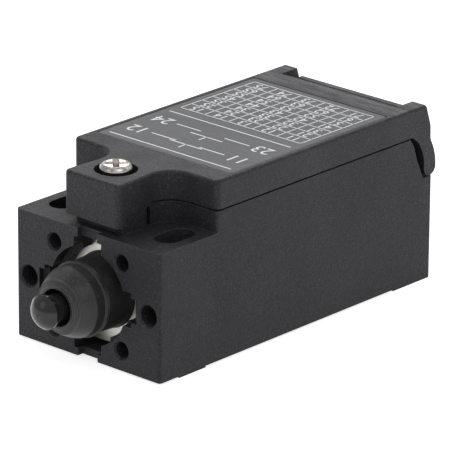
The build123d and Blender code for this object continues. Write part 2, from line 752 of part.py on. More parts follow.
# Cover screw
with BuildPart() as cover_screw:
    with BuildSketch(Plane.XY.offset(screw_tip_height)):
        with Locations((screw_x, 0)):
            Circle(screw_radius)
    extrude(amount=screw_head_seat - screw_tip_height)
    with BuildSketch(Plane.XY.offset(ring_bottom - running_clearance)):
        with Locations((screw_x, 0)):
            Circle(screw_radius)
            Circle(ring_groove_radius, mode=Mode.SUBTRACT)
    extrude(amount=ring_thickness + 2 * running_clearance, mode=Mode.SUBTRACT)
    with BuildSketch(Plane.XY.offset(screw_head_seat)):
        with Locations((screw_x, 0)):
            Circle(screw_head_radius)
    extrude(amount=screw_head_height)
    head_rim = (
        cover_screw.edges()
        .filter_by(GeomType.CIRCLE)
        .filter_by(lambda e: near(e.center().Z, screw_head_seat + screw_head_height))
    )
    fillet(head_rim, screw_head_round)
    with BuildSketch(Plane.XY.offset(screw_head_seat + screw_head_height)):
        with Locations((screw_x, 0)):
            Rectangle(cross_span, cross_width, rotation=cross_turn)
            Rectangle(cross_width, cross_span, rotation=cross_turn)
    extrude(amount=-cross_depth, taper=cross_taper, mode=Mode.SUBTRACT)
    tip_rim = (
        cover_screw.edges()
        .filter_by(GeomType.CIRCLE)
        .filter_by(lambda e: near(e.center().Z, screw_tip_height))
    )
    chamfer(tip_rim, screw_tip_chamfer)
cover_screw.part.label = "cover_screw"
export_step(cover_screw.part, "parts/cover_screw.step")

# Ring that keeps the screw in the cover
with BuildPart() as screw_ring:
    with BuildSketch(Plane.XY.offset(ring_bottom)):
        with Locations((screw_x, 0)):
            Circle(ring_radius)
            Circle(ring_groove_radius + running_clearance, mode=Mode.SUBTRACT)
            side_slot = (Align.MIN, Align.CENTER)
            Rectangle(2 * ring_radius, ring_groove_radius, align=side_slot, mode=Mode.SUBTRACT)
    extrude(amount=ring_thickness)
screw_ring.part.label = "screw_ring"
export_step(screw_ring.part, "parts/screw_ring.step")

# Threaded insert for the cover screw
with BuildPart() as threaded_insert:
    with BuildSketch(Plane.XY.offset(insert_bottom)):
        with Locations((screw_x, 0)):
            Circle(insert_radius - seat_clearance)
            Circle(screw_radius + running_clearance, mode=Mode.SUBTRACT)
    extrude(amount=insert_top - insert_bottom)
threaded_insert.part.label = "threaded_insert"
export_step(threaded_insert.part, "parts/threaded_insert.step")

# Hinge pins, pressed into the hooks of the cover
with BuildPart() as hinge_pins:
    for side in (1, -1):
        pin_inner_y = lug_inner_y + seat_clearance
        with BuildSketch(Plane.XZ.offset(-side * pin_outer_y)):
            with Locations((pivot_x, pivot_height)):
                Circle(hinge_pin_radius)
        extrude(amount=side * (pin_outer_y - pin_inner_y))
hinge_pins.part.label = "hinge_pins"
export_step(hinge_pins.part, "parts/hinge_pins.step")

# Turned pieces on the plunger axis: local x runs along +X, local y is the radius
axis_plane = Plane(origin=(0, 0, plunger_height), x_dir=(1, 0, 0), z_dir=(0, -1, 0))
plunger_axis = Axis((0, 0, plunger_height), (1, 0, 0))

# Plunger
with BuildPart() as plunger:
    with BuildSketch(axis_plane):
        with BuildLine():
            cap_back_x = cap_rim_x - cap_rim_width
            dome_height = tip_x - cap_rim_x
            dome_radius = (dome_height**2 + cap_radius**2) / (2 * dome_height)
            half_turn = asin(cap_radius / dome_radius) / 2
            dome_middle = (tip_x - dome_radius * (1 - cos(half_turn)), dome_radius * sin(half_turn))
            Polyline(
                (cap_rim_x, cap_radius),
                (cap_back_x, cap_radius),
                (cap_back_x - cap_rim_width / 2, stem_radius),
                (collar_front_x, stem_radius),
                (collar_front_x, collar_radius),
                (collar_back_x, collar_radius),
                (collar_back_x, tail_radius),
                (carrier_front_x, tail_radius),
                (carrier_front_x, 0),
                (tip_x, 0),
            )
            ThreePointArc((tip_x, 0), dome_middle, (cap_rim_x, cap_radius))
        make_face()
    revolve(axis=plunger_axis)
plunger.part.label = "plunger"
export_step(plunger.part, "parts/plunger.step")

# Sealing boot
with BuildPart() as sealing_boot:
    with BuildSketch(axis_plane):
        with BuildLine():
            boot_flange_front_x = boot_flange_back_x + boot_flange_thickness
            boot_end_x = bushing_front_x + boot_end_gap
            dome_back = (nose_x + boot_dome_reach, boot_dome_back_radius)
            dome_middle = (nose_x + (boot_dome_reach + boot_face_reach) / 2, boot_dome_radius)
            dome_front = (nose_x + boot_face_reach, boot_face_radius)
            lip_edge = (lip_x, boot_hole_radius)
            Polyline(
                lip_edge,
                (boot_end_x, boot_hole_radius),
                (boot_end_x, boot_inner_radius),
                (boot_flange_back_x, boot_inner_radius),
                (boot_flange_back_x, boot_flange_radius),
                (boot_flange_front_x, boot_flange_radius),
                (boot_flange_front_x, boot_root_radius),
                (plate_front_x, boot_root_radius),
                (nose_x + boot_neck_reach, boot_neck_radius),
                (nose_x + boot_ridge_reach, boot_ridge_radius),
                (nose_x + boot_ridge_reach, boot_groove_radius),
                dome_back,
            )
            ThreePointArc(dome_back, dome_middle, dome_front)
            Polyline(
                dome_front,
                (nose_x + boot_face_reach, boot_step_radius),
                (nose_x + boot_rim_reach, boot_rim_radius),
                (lip_x, boot_lip_radius),
                lip_edge,
            )
        make_face()
    revolve(axis=plunger_axis)
sealing_boot.part.label = "sealing_boot"
export_step(sealing_boot.part, "parts/sealing_boot.step")

# Guide bushing inside the boot
with BuildPart() as guide_bushing:
    with BuildSketch(axis_plane):
        with BuildLine():
            Polyline(
                (bushing_front_x, stem_radius + running_clearance),
                (bushing_front_x, boot_inner_radius - seat_clearance),
                (boot_flange_back_x, boot_inner_radius - seat_clearance),
                (boot_flange_back_x, boot_flange_radius),
                (bushing_flange_back_x, boot_flange_radius),
                (bushing_flange_back_x, stem_radius + running_clearance),
                close=True,
            )
        make_face()
    revolve(axis=plunger_axis)
guide_bushing.part.label = "guide_bushing"
export_step(guide_bushing.part, "parts/guide_bushing.step")

# Retainer ring behind the bushing
with BuildPart() as bushing_retainer:
    with BuildSketch(nose_plane.offset(bushing_flange_back_x - nose_x)):
        Circle(throat_back_radius - seat_clearance)
        Circle(retainer_bore_radius, mode=Mode.SUBTRACT)
    extrude(amount=-retainer_thickness)
    with BuildSketch(nose_plane.offset(retainer_back_x - nose_x)):
        with PolarLocations((throat_back_radius + retainer_bore_radius) / 2, 4):
            Circle(retainer_key_radius)
    extrude(amount=retainer_thickness, mode=Mode.SUBTRACT)
bushing_retainer.part.label = "bushing_retainer"
export_step(bushing_retainer.part, "parts/bushing_retainer.step")

# Nose plate, moulded in behind the nose face
with BuildPart() as nose_plate:
    with BuildSketch(nose_plane.offset(-nose_wall)):
        Rectangle(plate_size, plate_size)
        Circle(plate_bore_radius, mode=Mode.SUBTRACT)
        with GridLocations(head_screw_pitch, head_screw_pitch, 2, 2):
            Circle(plate_thread_radius, mode=Mode.SUBTRACT)
    extrude(amount=-plate_thickness)
nose_plate.part.label = "nose_plate"
export_step(nose_plate.part, "parts/nose_plate.step")

# Contact block base
with BuildPart() as block_base:
    with BuildSketch(Plane.XY.offset(block_floor_height)):
        with Locations((block_front_x, 0)):
            Rectangle(block_length, 2 * block_half, align=(Align.MAX, Align.CENTER))
        with Locations((block_screw_x, block_screw_spread), (block_screw_x, -block_screw_spread)):
            Circle(block_screw_radius + running_clearance, mode=Mode.SUBTRACT)
    extrude(amount=block_floor)
    # front and rear walls
    with BuildSketch(Plane.XY.offset(block_floor_top)):
        with Locations((block_front_x, 0)):
            Rectangle(block_wall, 2 * block_half, align=(Align.MAX, Align.CENTER))
        with Locations((block_rear_x, 0)):
            Rectangle(block_wall, 2 * block_half, align=(Align.MIN, Align.CENTER))
    extrude(amount=block_wall_top - block_floor_top)
    with BuildSketch(Plane.YZ.offset(block_front_x)):
        with Locations((0, plunger_height)):
            Circle(tail_hole_radius)
    extrude(amount=-block_wall, mode=Mode.SUBTRACT)
    with BuildSketch(Plane.YZ.offset(block_rear_x)):
        with Locations((0, plunger_height)):
            Circle(rod_radius + running_clearance)
    extrude(amount=block_wall, mode=Mode.SUBTRACT)
    # pillars under the terminals, and barriers between them
    for side in (1, -1):
        for web_x, outward in ((nc_web_x, 1), (no_web_x, -1)):
            pillar_inner_y = terminal_inner + terminal_notch
            pillar_x = web_x + outward * (terminal_plate_length + terminal_thickness) / 2
            pillar_length = terminal_plate_length - terminal_thickness
            with BuildSketch(Plane.XY.offset(block_floor_top)):
                with Locations((pillar_x, side * (pillar_inner_y + terminal_outer) / 2)):
                    Rectangle(pillar_length, terminal_outer - pillar_inner_y)
            extrude(amount=terminal_plate_height - block_floor_top)
            with BuildSketch(Plane.XY.offset(terminal_plate_height)):
                with Locations((web_x + outward * terminal_screw_offset, side * terminal_screw_spread)):
                    Circle(terminal_screw_radius)
            extrude(amount=block_floor_top - terminal_plate_height, mode=Mode.SUBTRACT)
        with BuildSketch(Plane.XY.offset(block_floor_top)):
            with Locations((block_front_x - barrier_setback, side * (barrier_inner + block_half) / 2)):
                Rectangle(barrier_thickness, block_half - barrier_inner)
        extrude(amount=block_wall_top - block_floor_top)
block_base.part.label = "block_base"
export_step(block_base.part, "parts/block_base.step")

# Contact block lid
with BuildPart() as block_lid:
    with BuildSketch(Plane.XY.offset(block_wall_top)):
        with Locations((block_front_x, 0)):
            Rectangle(block_length, 2 * lid_half_width, align=(Align.MAX, Align.CENTER))
    extrude(amount=lid_thickness)
    chamfer(block_lid.faces().sort_by(Axis.Z)[-1].edges(), edge_round)
block_lid.part.label = "block_lid"
export_step(block_lid.part, "parts/block_lid.step")

# Contact block screws
with BuildPart() as block_screws:
    with BuildSketch(Plane.XY.offset(block_floor_top)):
        with Locations((block_screw_x, block_screw_spread), (block_screw_x, -block_screw_spread)):
            Circle(block_screw_head)
    extrude(amount=block_screw_head_height)
    with BuildSketch(Plane.XY.offset(block_floor_top)):
        with Locations((block_screw_x, block_screw_spread), (block_screw_x, -block_screw_spread)):
            Circle(block_screw_radius)
    extrude(amount=-block_screw_grip)
    with BuildSketch(Plane.XY.offset(block_floor_top + block_screw_head_height)):
        with Locations((block_screw_x, block_screw_spread), (block_screw_x, -block_screw_spread)):
            Rectangle(2 * block_screw_head + cut_margin, slot_width)
    extrude(amount=-slot_depth, mode=Mode.SUBTRACT)
block_screws.part.label = "block_screws"
export_step(block_screws.part, "parts/block_screws.step")

# Contact carrier with its rear rod
with BuildPart() as contact_carrier:
    with BuildSketch(Plane.YZ.offset(carrier_rear_x)):
        with Locations((0, plunger_height)):
            Rectangle(2 * carrier_half_width, 2 * carrier_half_height)
    extrude(amount=carrier_front_x - carrier_rear_x)
    for window_front_x, window_back_x in ((nc_window_front_x, rib_front_x), (rib_back_x, no_window_back_x)):
        with BuildSketch(Plane.XZ):
            with Locations(((window_front_x + window_back_x) / 2, plunger_height)):
                Rectangle(window_front_x - window_back_x, 2 * carrier_window_half)
        extrude(amount=2 * carrier_half_width, both=True, mode=Mode.SUBTRACT)
    with BuildSketch(Plane.YZ.offset(carrier_rear_x)):
        with Locations((0, plunger_height)):
            Circle(rod_radius)
    extrude(amount=-rod_length)
contact_carrier.part.label = "contact_carrier"
export_step(contact_carrier.part, "parts/contact_carrier.step")

# Contact bridges and their tips
with BuildPart() as nc_bridge:
    with BuildSketch(Plane.YZ.offset(nc_bridge_front_x)):
        with Locations((0, plunger_height)):
            RectangleRounded(2 * bridge_half_span, 2 * bridge_half_height, edge_round)
    extrude(amount=-bridge_thickness)
nc_bridge.part.label = "nc_bridge"
export_step(nc_bridge.part, "parts/nc_bridge.step")

with BuildPart() as no_bridge:
    with BuildSketch(Plane.YZ.offset(no_bridge_back_x)):
        with Locations((0, plunger_height)):
            RectangleRounded(2 * bridge_half_span, 2 * bridge_half_height, edge_round)
    extrude(amount=bridge_thickness)
no_bridge.part.label = "no_bridge"
export_step(no_bridge.part, "parts/no_bridge.step")

with BuildPart() as nc_bridge_tips:
    with BuildSketch(Plane.YZ.offset(nc_bridge_front_x)):
        with Locations((pad_spread, plunger_height), (-pad_spread, plunger_height)):
            Circle(min(pad_radius, bridge_half_height))
    extrude(amount=pad_thickness)
nc_bridge_tips.part.label = "nc_bridge_tips"
export_step(nc_bridge_tips.part, "parts/nc_bridge_tips.step")

with BuildPart() as no_bridge_tips:
    with BuildSketch(Plane.YZ.offset(no_bridge_back_x)):
        with Locations((pad_spread, plunger_height), (-pad_spread, plunger_height)):
            Circle(min(pad_radius, bridge_half_height))
    extrude(amount=-pad_thickness)
no_bridge_tips.part.label = "no_bridge_tips"
export_step(no_bridge_tips.part, "parts/no_bridge_tips.step")

with BuildPart() as fixed_tips:
    with BuildSketch(Plane.YZ.offset(nc_web_x)):
        with Locations((pad_spread, plunger_height), (-pad_spread, plunger_height)):
            Circle(pad_radius)
    extrude(amount=-pad_thickness)
    with BuildSketch(Plane.YZ.offset(no_web_x)):
        with Locations((pad_spread, plunger_height), (-pad_spread, plunger_height)):
            Circle(pad_radius)
    extrude(amount=pad_thickness)
fixed_tips.part.label = "fixed_tips"
export_step(fixed_tips.part, "parts/fixed_tips.step")

# Terminals, one angle strip each
plate_top = terminal_plate_height + terminal_thickness
plate_inner_y = terminal_inner + terminal_notch
for label, web_x, outward, side in (
    ("terminal_nc_left", nc_web_x, 1, 1),
    ("terminal_nc_right", nc_web_x, 1, -1),
    ("terminal_no_left", no_web_x, -1, 1),
    ("terminal_no_right", no_web_x, -1, -1),
):
    web_middle_y = side * (terminal_inner + terminal_outer) / 2
    with BuildPart() as terminal:
        with BuildSketch(Plane.YZ.offset(web_x)):
            with Locations((web_middle_y, (terminal_web_bottom + plate_top) / 2)):
                Rectangle(terminal_outer - terminal_inner, plate_top - terminal_web_bottom)
        extrude(amount=outward * terminal_thickness)
        plate_middle_x = web_x + outward * terminal_plate_length / 2
        with BuildSketch(Plane.XY.offset(terminal_plate_height)):
            with Locations((plate_middle_x, side * (plate_inner_y + terminal_outer) / 2)):
                Rectangle(terminal_plate_length, terminal_outer - plate_inner_y)
        extrude(amount=terminal_thickness)
        with BuildSketch(Plane.XY.offset(terminal_plate_height)):
            with Locations((web_x + outward * terminal_screw_offset, side * terminal_screw_spread)):
                Circle(terminal_screw_radius + running_clearance)
        extrude(amount=terminal_thickness, mode=Mode.SUBTRACT)
    terminal.part.label = label
    export_step(terminal.part, f"parts/{label}.step")

# Terminal screws and their clamp washers
terminal_screw_spots = [
    (web_x + outward * terminal_screw_offset, side * terminal_screw_spread)
    for web_x, outward in ((nc_web_x, 1), (no_web_x, -1))
    for side in (1, -1)
]
head_bottom = plate_top + washer_thickness
with BuildPart() as clamp_washers:
    with BuildSketch(Plane.XY.offset(plate_top)):
        with Locations(*terminal_screw_spots):
            Rectangle(washer_size, washer_size)
            Circle(terminal_screw_radius + running_clearance, mode=Mode.SUBTRACT)
    extrude(amount=washer_thickness)
clamp_washers.part.label = "clamp_washers"
export_step(clamp_washers.part, "parts/clamp_washers.step")

with BuildPart() as terminal_screws:
    with BuildSketch(Plane.XY.offset(head_bottom)):
        with Locations(*terminal_screw_spots):
            Circle(terminal_head_radius)
    extrude(amount=terminal_head_height)
    chamfer(terminal_screws.faces().group_by(Axis.Z)[-1].edges(), edge_round)
    with BuildSketch(Plane.XY.offset(head_bottom)):
        with Locations(*terminal_screw_spots):
            Circle(terminal_screw_radius - seat_clearance)
    extrude(amount=-terminal_screw_length)
    with BuildSketch(Plane.XY.offset(head_bottom + terminal_head_height)):
        with Locations(*terminal_screw_spots):
            Rectangle(2 * terminal_head_radius + cut_margin, slot_width)
            Rectangle(slot_width, slot_cross / 2)
    extrude(amount=-slot_depth, mode=Mode.SUBTRACT)
terminal_screws.part.label = "terminal_screws"
export_step(terminal_screws.part, "parts/terminal_screws.step")

# Springs
for label, front_x, back_x, radius, wire, turns in (
    ("plunger_spring", collar_back_x, block_front_x, plunger_spring_radius, plunger_spring_wire,
     plunger_spring_turns),
    ("return_spring", carrier_rear_x, rear_wall_front_x, return_spring_radius, return_spring_wire,
     return_spring_turns),
    ("nc_spring", nc_bridge_back_x, rib_front_x, contact_spring_radius, contact_spring_wire,
     contact_spring_turns),
    ("no_spring", rib_back_x, no_bridge_front_x, contact_spring_radius, contact_spring_wire,
     contact_spring_turns),
):
    spring = coil(back_x, front_x - back_x, radius, wire, turns)
    spring.label = label
    export_step(spring, f"parts/{label}.step")
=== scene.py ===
"""Looks of a plunger-operated limit switch: finishes, printed plate, springs, thread and stage.

Lengths are metres. +X points out of the nose, +Z from the mounting face to the cover.
"""

import json
from math import cos, pi, radians, sin

import bmesh
import bpy
from bpy.props import FloatProperty, FloatVectorProperty, IntProperty, PointerProperty
from mathutils import Matrix, Vector

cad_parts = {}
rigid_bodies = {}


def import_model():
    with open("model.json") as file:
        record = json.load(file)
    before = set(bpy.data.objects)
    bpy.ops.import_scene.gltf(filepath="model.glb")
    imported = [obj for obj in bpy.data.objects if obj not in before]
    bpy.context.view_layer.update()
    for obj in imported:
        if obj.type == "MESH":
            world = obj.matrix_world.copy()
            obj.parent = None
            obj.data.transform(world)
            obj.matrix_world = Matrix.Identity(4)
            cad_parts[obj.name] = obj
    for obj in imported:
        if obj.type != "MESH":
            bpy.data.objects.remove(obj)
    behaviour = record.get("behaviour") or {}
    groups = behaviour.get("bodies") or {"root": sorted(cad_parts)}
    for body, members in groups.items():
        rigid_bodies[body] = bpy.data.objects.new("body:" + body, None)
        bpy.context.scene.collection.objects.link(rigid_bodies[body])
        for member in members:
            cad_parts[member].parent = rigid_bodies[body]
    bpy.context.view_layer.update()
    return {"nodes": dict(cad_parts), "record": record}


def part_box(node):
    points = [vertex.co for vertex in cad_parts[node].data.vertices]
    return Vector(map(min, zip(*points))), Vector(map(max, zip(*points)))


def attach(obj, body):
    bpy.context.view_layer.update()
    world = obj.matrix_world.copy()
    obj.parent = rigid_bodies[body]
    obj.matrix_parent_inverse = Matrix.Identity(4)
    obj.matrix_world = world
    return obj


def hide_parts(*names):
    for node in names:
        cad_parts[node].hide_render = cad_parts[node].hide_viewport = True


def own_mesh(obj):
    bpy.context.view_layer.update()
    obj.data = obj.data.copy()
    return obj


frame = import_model()

bl_info = {
    "name": "Limit switch looks",
    "version": (1, 0, 0),
    "blender": (4, 5, 0),
    "location": "3D View > Sidebar > Limit switch",
    "description": "Finishes, printed plate, springs and stage for a plunger-operated limit switch",
    "category": "Object",
}

MM = 0.001


# Settings ---------------------------------------------------------------------------------------


def colour_setting(name, description, default):
    """A colour setting, in linear light."""
    return FloatVectorProperty(
        name=name, description=description, subtype="COLOR", size=3, min=0.0, max=1.0, default=default
    )


def length_setting(name, description, default):
    """A length setting, in metres."""
    return FloatProperty(name=name, description=description, default=default, min=0.0, unit="LENGTH")


def angle_setting(name, description, degrees):
    """An angle setting, given in degrees."""
    return FloatProperty(
        name=name, description=description, default=radians(degrees), subtype="ANGLE", unit="ROTATION"
    )


class MouldedSettings(bpy.types.PropertyGroup):
    """Plastic and rubber mouldings."""

    housing_colour: colour_setting("Housing", "Glass-filled plastic of the box", (0.0165, 0.0160, 0.0182))
    cover_colour: colour_setting("Cover", "Glass-filled plastic of the cover", (0.0176, 0.0169, 0.0200))
    boot_colour: colour_setting("Boot", "Sealing rubber", (0.0110, 0.0108, 0.0112))
    plunger_colour: colour_setting("Plunger", "Smooth plunger plastic", (0.0115, 0.0115, 0.0120))
    bushing_colour: colour_setting("Bushing", "Guide bushing plastic", (0.018, 0.018, 0.019))
    gasket_colour: colour_setting("Gasket", "Cover gasket rubber", (0.016, 0.016, 0.016))
    block_colour: colour_setting("Contact block", "Insulating plastic", (0.42, 0.40, 0.34))
    carrier_colour: colour_setting("Contact carrier", "Carrier plastic", (0.36, 0.045, 0.025))
    grain_size: length_setting("Grain size", "Spacing of the moulded texture", 0.34 * MM)
    edge_width: length_setting("Edge width", "Rounding that catches the light along an edge", 0.11 * MM)


class MetalSettings(bpy.types.PropertyGroup):
    """Metal finishes."""

    nickel_colour: colour_setting("Nickel", "Plating of the cover screw", (0.90, 0.87, 0.84))
    plate_colour: colour_setting("Nose plate", "Bright rolled steel", (0.74, 0.72, 0.68))
    zinc_colour: colour_setting("Zinc", "Plated screws and washers", (0.52, 0.54, 0.58))
    spring_colour: colour_setting("Spring wire", "Drawn steel", (0.42, 0.42, 0.42))
    brass_colour: colour_setting("Brass", "Terminals and insert", (0.68, 0.47, 0.18))
    copper_colour: colour_setting("Contact strip", "Copper alloy", (0.66, 0.33, 0.16))
    silver_colour: colour_setting("Contact tips", "Silver alloy", (0.80, 0.79, 0.77))


class PlateSettings(bpy.types.PropertyGroup):
    """Rating plate and its print."""

    film_colour: colour_setting("Film", "Dark plastic film of the plate", (0.0125, 0.013, 0.0160))
    ink_colour: colour_setting("Ink", "Pale print", (0.80, 0.82, 0.85))
    ink_height: length_setting("Ink height", "Thickness of the print", 0.012 * MM)
    rule_width: length_setting("Rule width", "Width of a printed line", 0.26 * MM)
    margin: length_setting("Margin", "Plate edge to the print", 1.4 * MM)
    large_figure: length_setting("Large figures", "Height of the terminal numbers", 2.6 * MM)
    small_figure: length_setting("Small figures", "Height of the numbers in the table", 1.7 * MM)
    table_rows: IntProperty(name="Rows", description="Rows of the number table", default=7, min=1)
    table_columns: IntProperty(name="Columns", description="Columns of the number table", default=5, min=1)


class HardwareSettings(bpy.types.PropertyGroup):
    """Springs and the thread of the conduit entry."""

    main_wire: length_setting("Plunger spring wire", "Wire of the plunger spring", 0.45 * MM)
    return_wire: length_setting("Return spring wire", "Wire of the return spring", 0.40 * MM)
    contact_wire: length_setting("Contact spring wire", "Wire of the contact springs", 0.30 * MM)
    conduit_radius: length_setting("Conduit radius", "Bore of the conduit entry", 9.2 * MM)
    conduit_wall: length_setting("Conduit wall", "Length of the bore of the conduit entry", 8.2 * MM)
    conduit_height: length_setting("Conduit height", "Mounting face to the conduit axis", 13.0 * MM)
    thread_pitch: length_setting("Thread pitch", "Pitch of the conduit thread", 1.5 * MM)
    thread_height: length_setting("Thread height", "Height of a thread crest", 0.38 * MM)


class StageSettings(bpy.types.PropertyGroup):
    """Floor, lights and camera."""

    floor_size: length_setting("Floor size", "Side of the floor", 6.0)
    floor_colour: colour_setting("Floor", "Pale floor", (0.80, 0.80, 0.80))
    world_strength: FloatProperty(name="World", description="Strength of the even light", default=0.62)
    floor_glow: FloatProperty(
        name="Floor glow", description="Light of the floor, for the view alone", default=0.72
    )
    azimuth: angle_setting("Azimuth", "Camera bearing", 132.076)
    elevation: angle_setting("Elevation", "Camera height", 20.297)
    roll: angle_setting("Roll", "Camera roll", 0.418)
    camera_place: FloatVectorProperty(
        name="Camera", description="Place of the camera", default=(0.47535, 0.45053, 0.26206), unit="LENGTH"
    )
    lens: FloatProperty(name="Lens", description="Focal length in millimetres", default=366.23)


# Shader node helpers ----------------------------------------------------------------------------


def start_group(name, inputs, outputs):
    """An empty shader node group with its sockets, and its input and output nodes."""
    group = bpy.data.node_groups.new(name, "ShaderNodeTree")
    for socket, kind, value in inputs:
        made = group.interface.new_socket(name=socket, in_out="INPUT", socket_type=kind)
        if value is not None:
            made.default_value = value
    for socket, kind in outputs:
        group.interface.new_socket(name=socket, in_out="OUTPUT", socket_type=kind)
    return group, group.nodes.new("NodeGroupInput"), group.nodes.new("NodeGroupOutput")


def math_node(tree, operation, first, second=None, third=None, clamp=False):
    """A Math node's output; each argument is a number or a socket."""
    node = tree.nodes.new("ShaderNodeMath")
    node.operation = operation
    node.use_clamp = clamp
    for place, value in enumerate((first, second, third)):
        if value is None:
            continue
        if isinstance(value, (int, float)):
            node.inputs[place].default_value = value
        else:
            tree.links.new(value, node.inputs[place])
    return node.outputs[0]


def noise_node(tree, vector, scale, detail, roughness=0.55):
    """A noise pattern's value."""
    node = tree.nodes.new("ShaderNodeTexNoise")
    node.inputs["Detail"].default_value = detail
    node.inputs["Roughness"].default_value = roughness
    tree.links.new(vector, node.inputs["Vector"])
    if isinstance(scale, (int, float)):
        node.inputs["Scale"].default_value = scale
    else:
        tree.links.new(scale, node.inputs["Scale"])
    return node.outputs["Fac"]


def shifted(colour, gain, lift=0.0):
    """A colour times a gain, plus a lift, kept within 1."""
    return [min(channel * gain + lift, 1.0) for channel in colour]


def mix_colour(tree, share, first, second, blend="MIX"):
    """A colour mix's output; each argument is a value or a socket."""
    node = tree.nodes.new("ShaderNodeMix")
    node.data_type = "RGBA"
    node.blend_type = blend
    sockets = (node.inputs[0], node.inputs[6], node.inputs[7])
    for socket, value in zip(sockets, (share, first, second)):
        if isinstance(value, bpy.types.NodeSocket):
            tree.links.new(value, socket)
        elif isinstance(value, (int, float)):
            socket.default_value = value
        else:
            socket.default_value = (*value, 1.0)
    return node.outputs[2]


def put_out_mask(group, mask, given, out):
    """Scales a mask by the group's Amount and gives it out."""
    scaled = math_node(group, "MULTIPLY", mask, given.outputs["Amount"], clamp=True)
    group.links.new(scaled, out.inputs["Mask"])


def moulded_grain_group():
    """Fine grain that a textured mould leaves, with flecks of filler near the surface."""
    group, given, out = start_group(
        "Moulded grain",
        (
            ("Size", "NodeSocketFloat", 0.30 * MM),
            ("Fleck", "NodeSocketFloat", 0.5),
        ),
        (
            ("Height", "NodeSocketFloat"),
            ("Fleck", "NodeSocketFloat"),
            ("Cloud", "NodeSocketFloat"),
            ("Mottle", "NodeSocketFloat"),
        ),
    )
    place = group.nodes.new("ShaderNodeTexCoord").outputs["Object"]
    scale = math_node(group, "DIVIDE", 1.0, given.outputs["Size"])
    fine = noise_node(group, place, scale, 3.0, 0.6)
    coarse = noise_node(group, place, math_node(group, "MULTIPLY", scale, 0.37), 2.0)
    cells = group.nodes.new("ShaderNodeTexVoronoi")
    cells.feature = "F1"
    group.links.new(place, cells.inputs["Vector"])
    group.links.new(math_node(group, "MULTIPLY", scale, 1.6), cells.inputs["Scale"])
    pits = math_node(group, "MULTIPLY", cells.outputs["Distance"], 0.6)
    height = math_node(group, "ADD", fine, pits)
    height = math_node(group, "ADD", height, math_node(group, "MULTIPLY", coarse, 0.5))
    sparkle = math_node(group, "SUBTRACT", fine, 0.57, clamp=True)
    sparkle = math_node(group, "MULTIPLY", sparkle, 7.0, clamp=True)
    flow = group.nodes.new("ShaderNodeMapping")
    flow.inputs["Scale"].default_value = (170.0, 170.0, 45.0)
    group.links.new(place, flow.inputs["Vector"])
    cloud = noise_node(group, flow.outputs["Vector"], 1.0, 4.0)
    cloud = math_node(group, "MULTIPLY_ADD", cloud, 2.0, -0.5, clamp=True)
    group.links.new(height, out.inputs["Height"])
    group.links.new(math_node(group, "MULTIPLY", sparkle, given.outputs["Fleck"]), out.inputs["Fleck"])
    group.links.new(cloud, out.inputs["Cloud"])
    mottle = math_node(group, "MULTIPLY", fine, 0.6)
    mottle = math_node(group, "ADD", mottle, math_node(group, "MULTIPLY", coarse, 0.4))
    group.links.new(math_node(group, "MULTIPLY_ADD", mottle, 3.2, -1.1, clamp=True), out.inputs["Mottle"])
    return group


def edge_wear_and_highlight_group():
    """Mask of handled edges and of painted edge highlights, broken up so that it isn't an even outline, and
    the rounded normal.
    """
    group, given, out = start_group(
        "Edge wear and highlight",
        (("Width", "NodeSocketFloat", 0.09 * MM), ("Amount", "NodeSocketFloat", 0.5)),
        (("Mask", "NodeSocketFloat"), ("Normal", "NodeSocketVector")),
    )
    place = group.nodes.new("ShaderNodeTexCoord").outputs["Object"]
    bevel = group.nodes.new("ShaderNodeBevel")
    bevel.samples = 6
    group.links.new(given.outputs["Width"], bevel.inputs["Radius"])
    geometry = group.nodes.new("ShaderNodeNewGeometry")
    facing = group.nodes.new("ShaderNodeVectorMath")
    facing.operation = "DOT_PRODUCT"
    group.links.new(bevel.outputs["Normal"], facing.inputs[0])
    group.links.new(geometry.outputs["Normal"], facing.inputs[1])
    turned = math_node(group, "SUBTRACT", 0.995, facing.outputs["Value"], clamp=True)
    turned = math_node(group, "MULTIPLY", turned, 9.0, clamp=True)
    patches = noise_node(group, place, 900.0, 4.0)
    patches = math_node(group, "MULTIPLY_ADD", patches, 2.6, -0.45, clamp=True)
    # This mask lightens edges in the materials: partly wear, partly a painted highlight where light catches
    # them.
    mask = math_node(group, "MULTIPLY", turned, patches)
    put_out_mask(group, mask, given, out)
    group.links.new(bevel.outputs["Normal"], out.inputs["Normal"])
    return group


def settled_dust_group():
    """Mask of fine dust, thicker on what faces up."""
    group, given, out = start_group(
        "Settled dust",
        (("Amount", "NodeSocketFloat", 0.3),),
        (("Mask", "NodeSocketFloat"),),
    )
    place = group.nodes.new("ShaderNodeTexCoord").outputs["Object"]
    geometry = group.nodes.new("ShaderNodeNewGeometry")
    split = group.nodes.new("ShaderNodeSeparateXYZ")
    group.links.new(geometry.outputs["Normal"], split.inputs[0])
    upward = math_node(group, "MULTIPLY_ADD", split.outputs["Z"], 0.7, 0.3, clamp=True)
    specks = noise_node(group, place, 3200.0, 2.0)
    specks = math_node(group, "MULTIPLY_ADD", specks, 5.0, -2.75, clamp=True)
    smear = noise_node(group, place, 120.0, 4.0)
    smear = math_node(group, "MULTIPLY_ADD", smear, 2.4, -0.9, clamp=True)
    both = math_node(group, "ADD", math_node(group, "MULTIPLY", smear, 0.35), specks)
    mask = math_node(group, "MULTIPLY", both, upward)
    put_out_mask(group, mask, given, out)
    return group


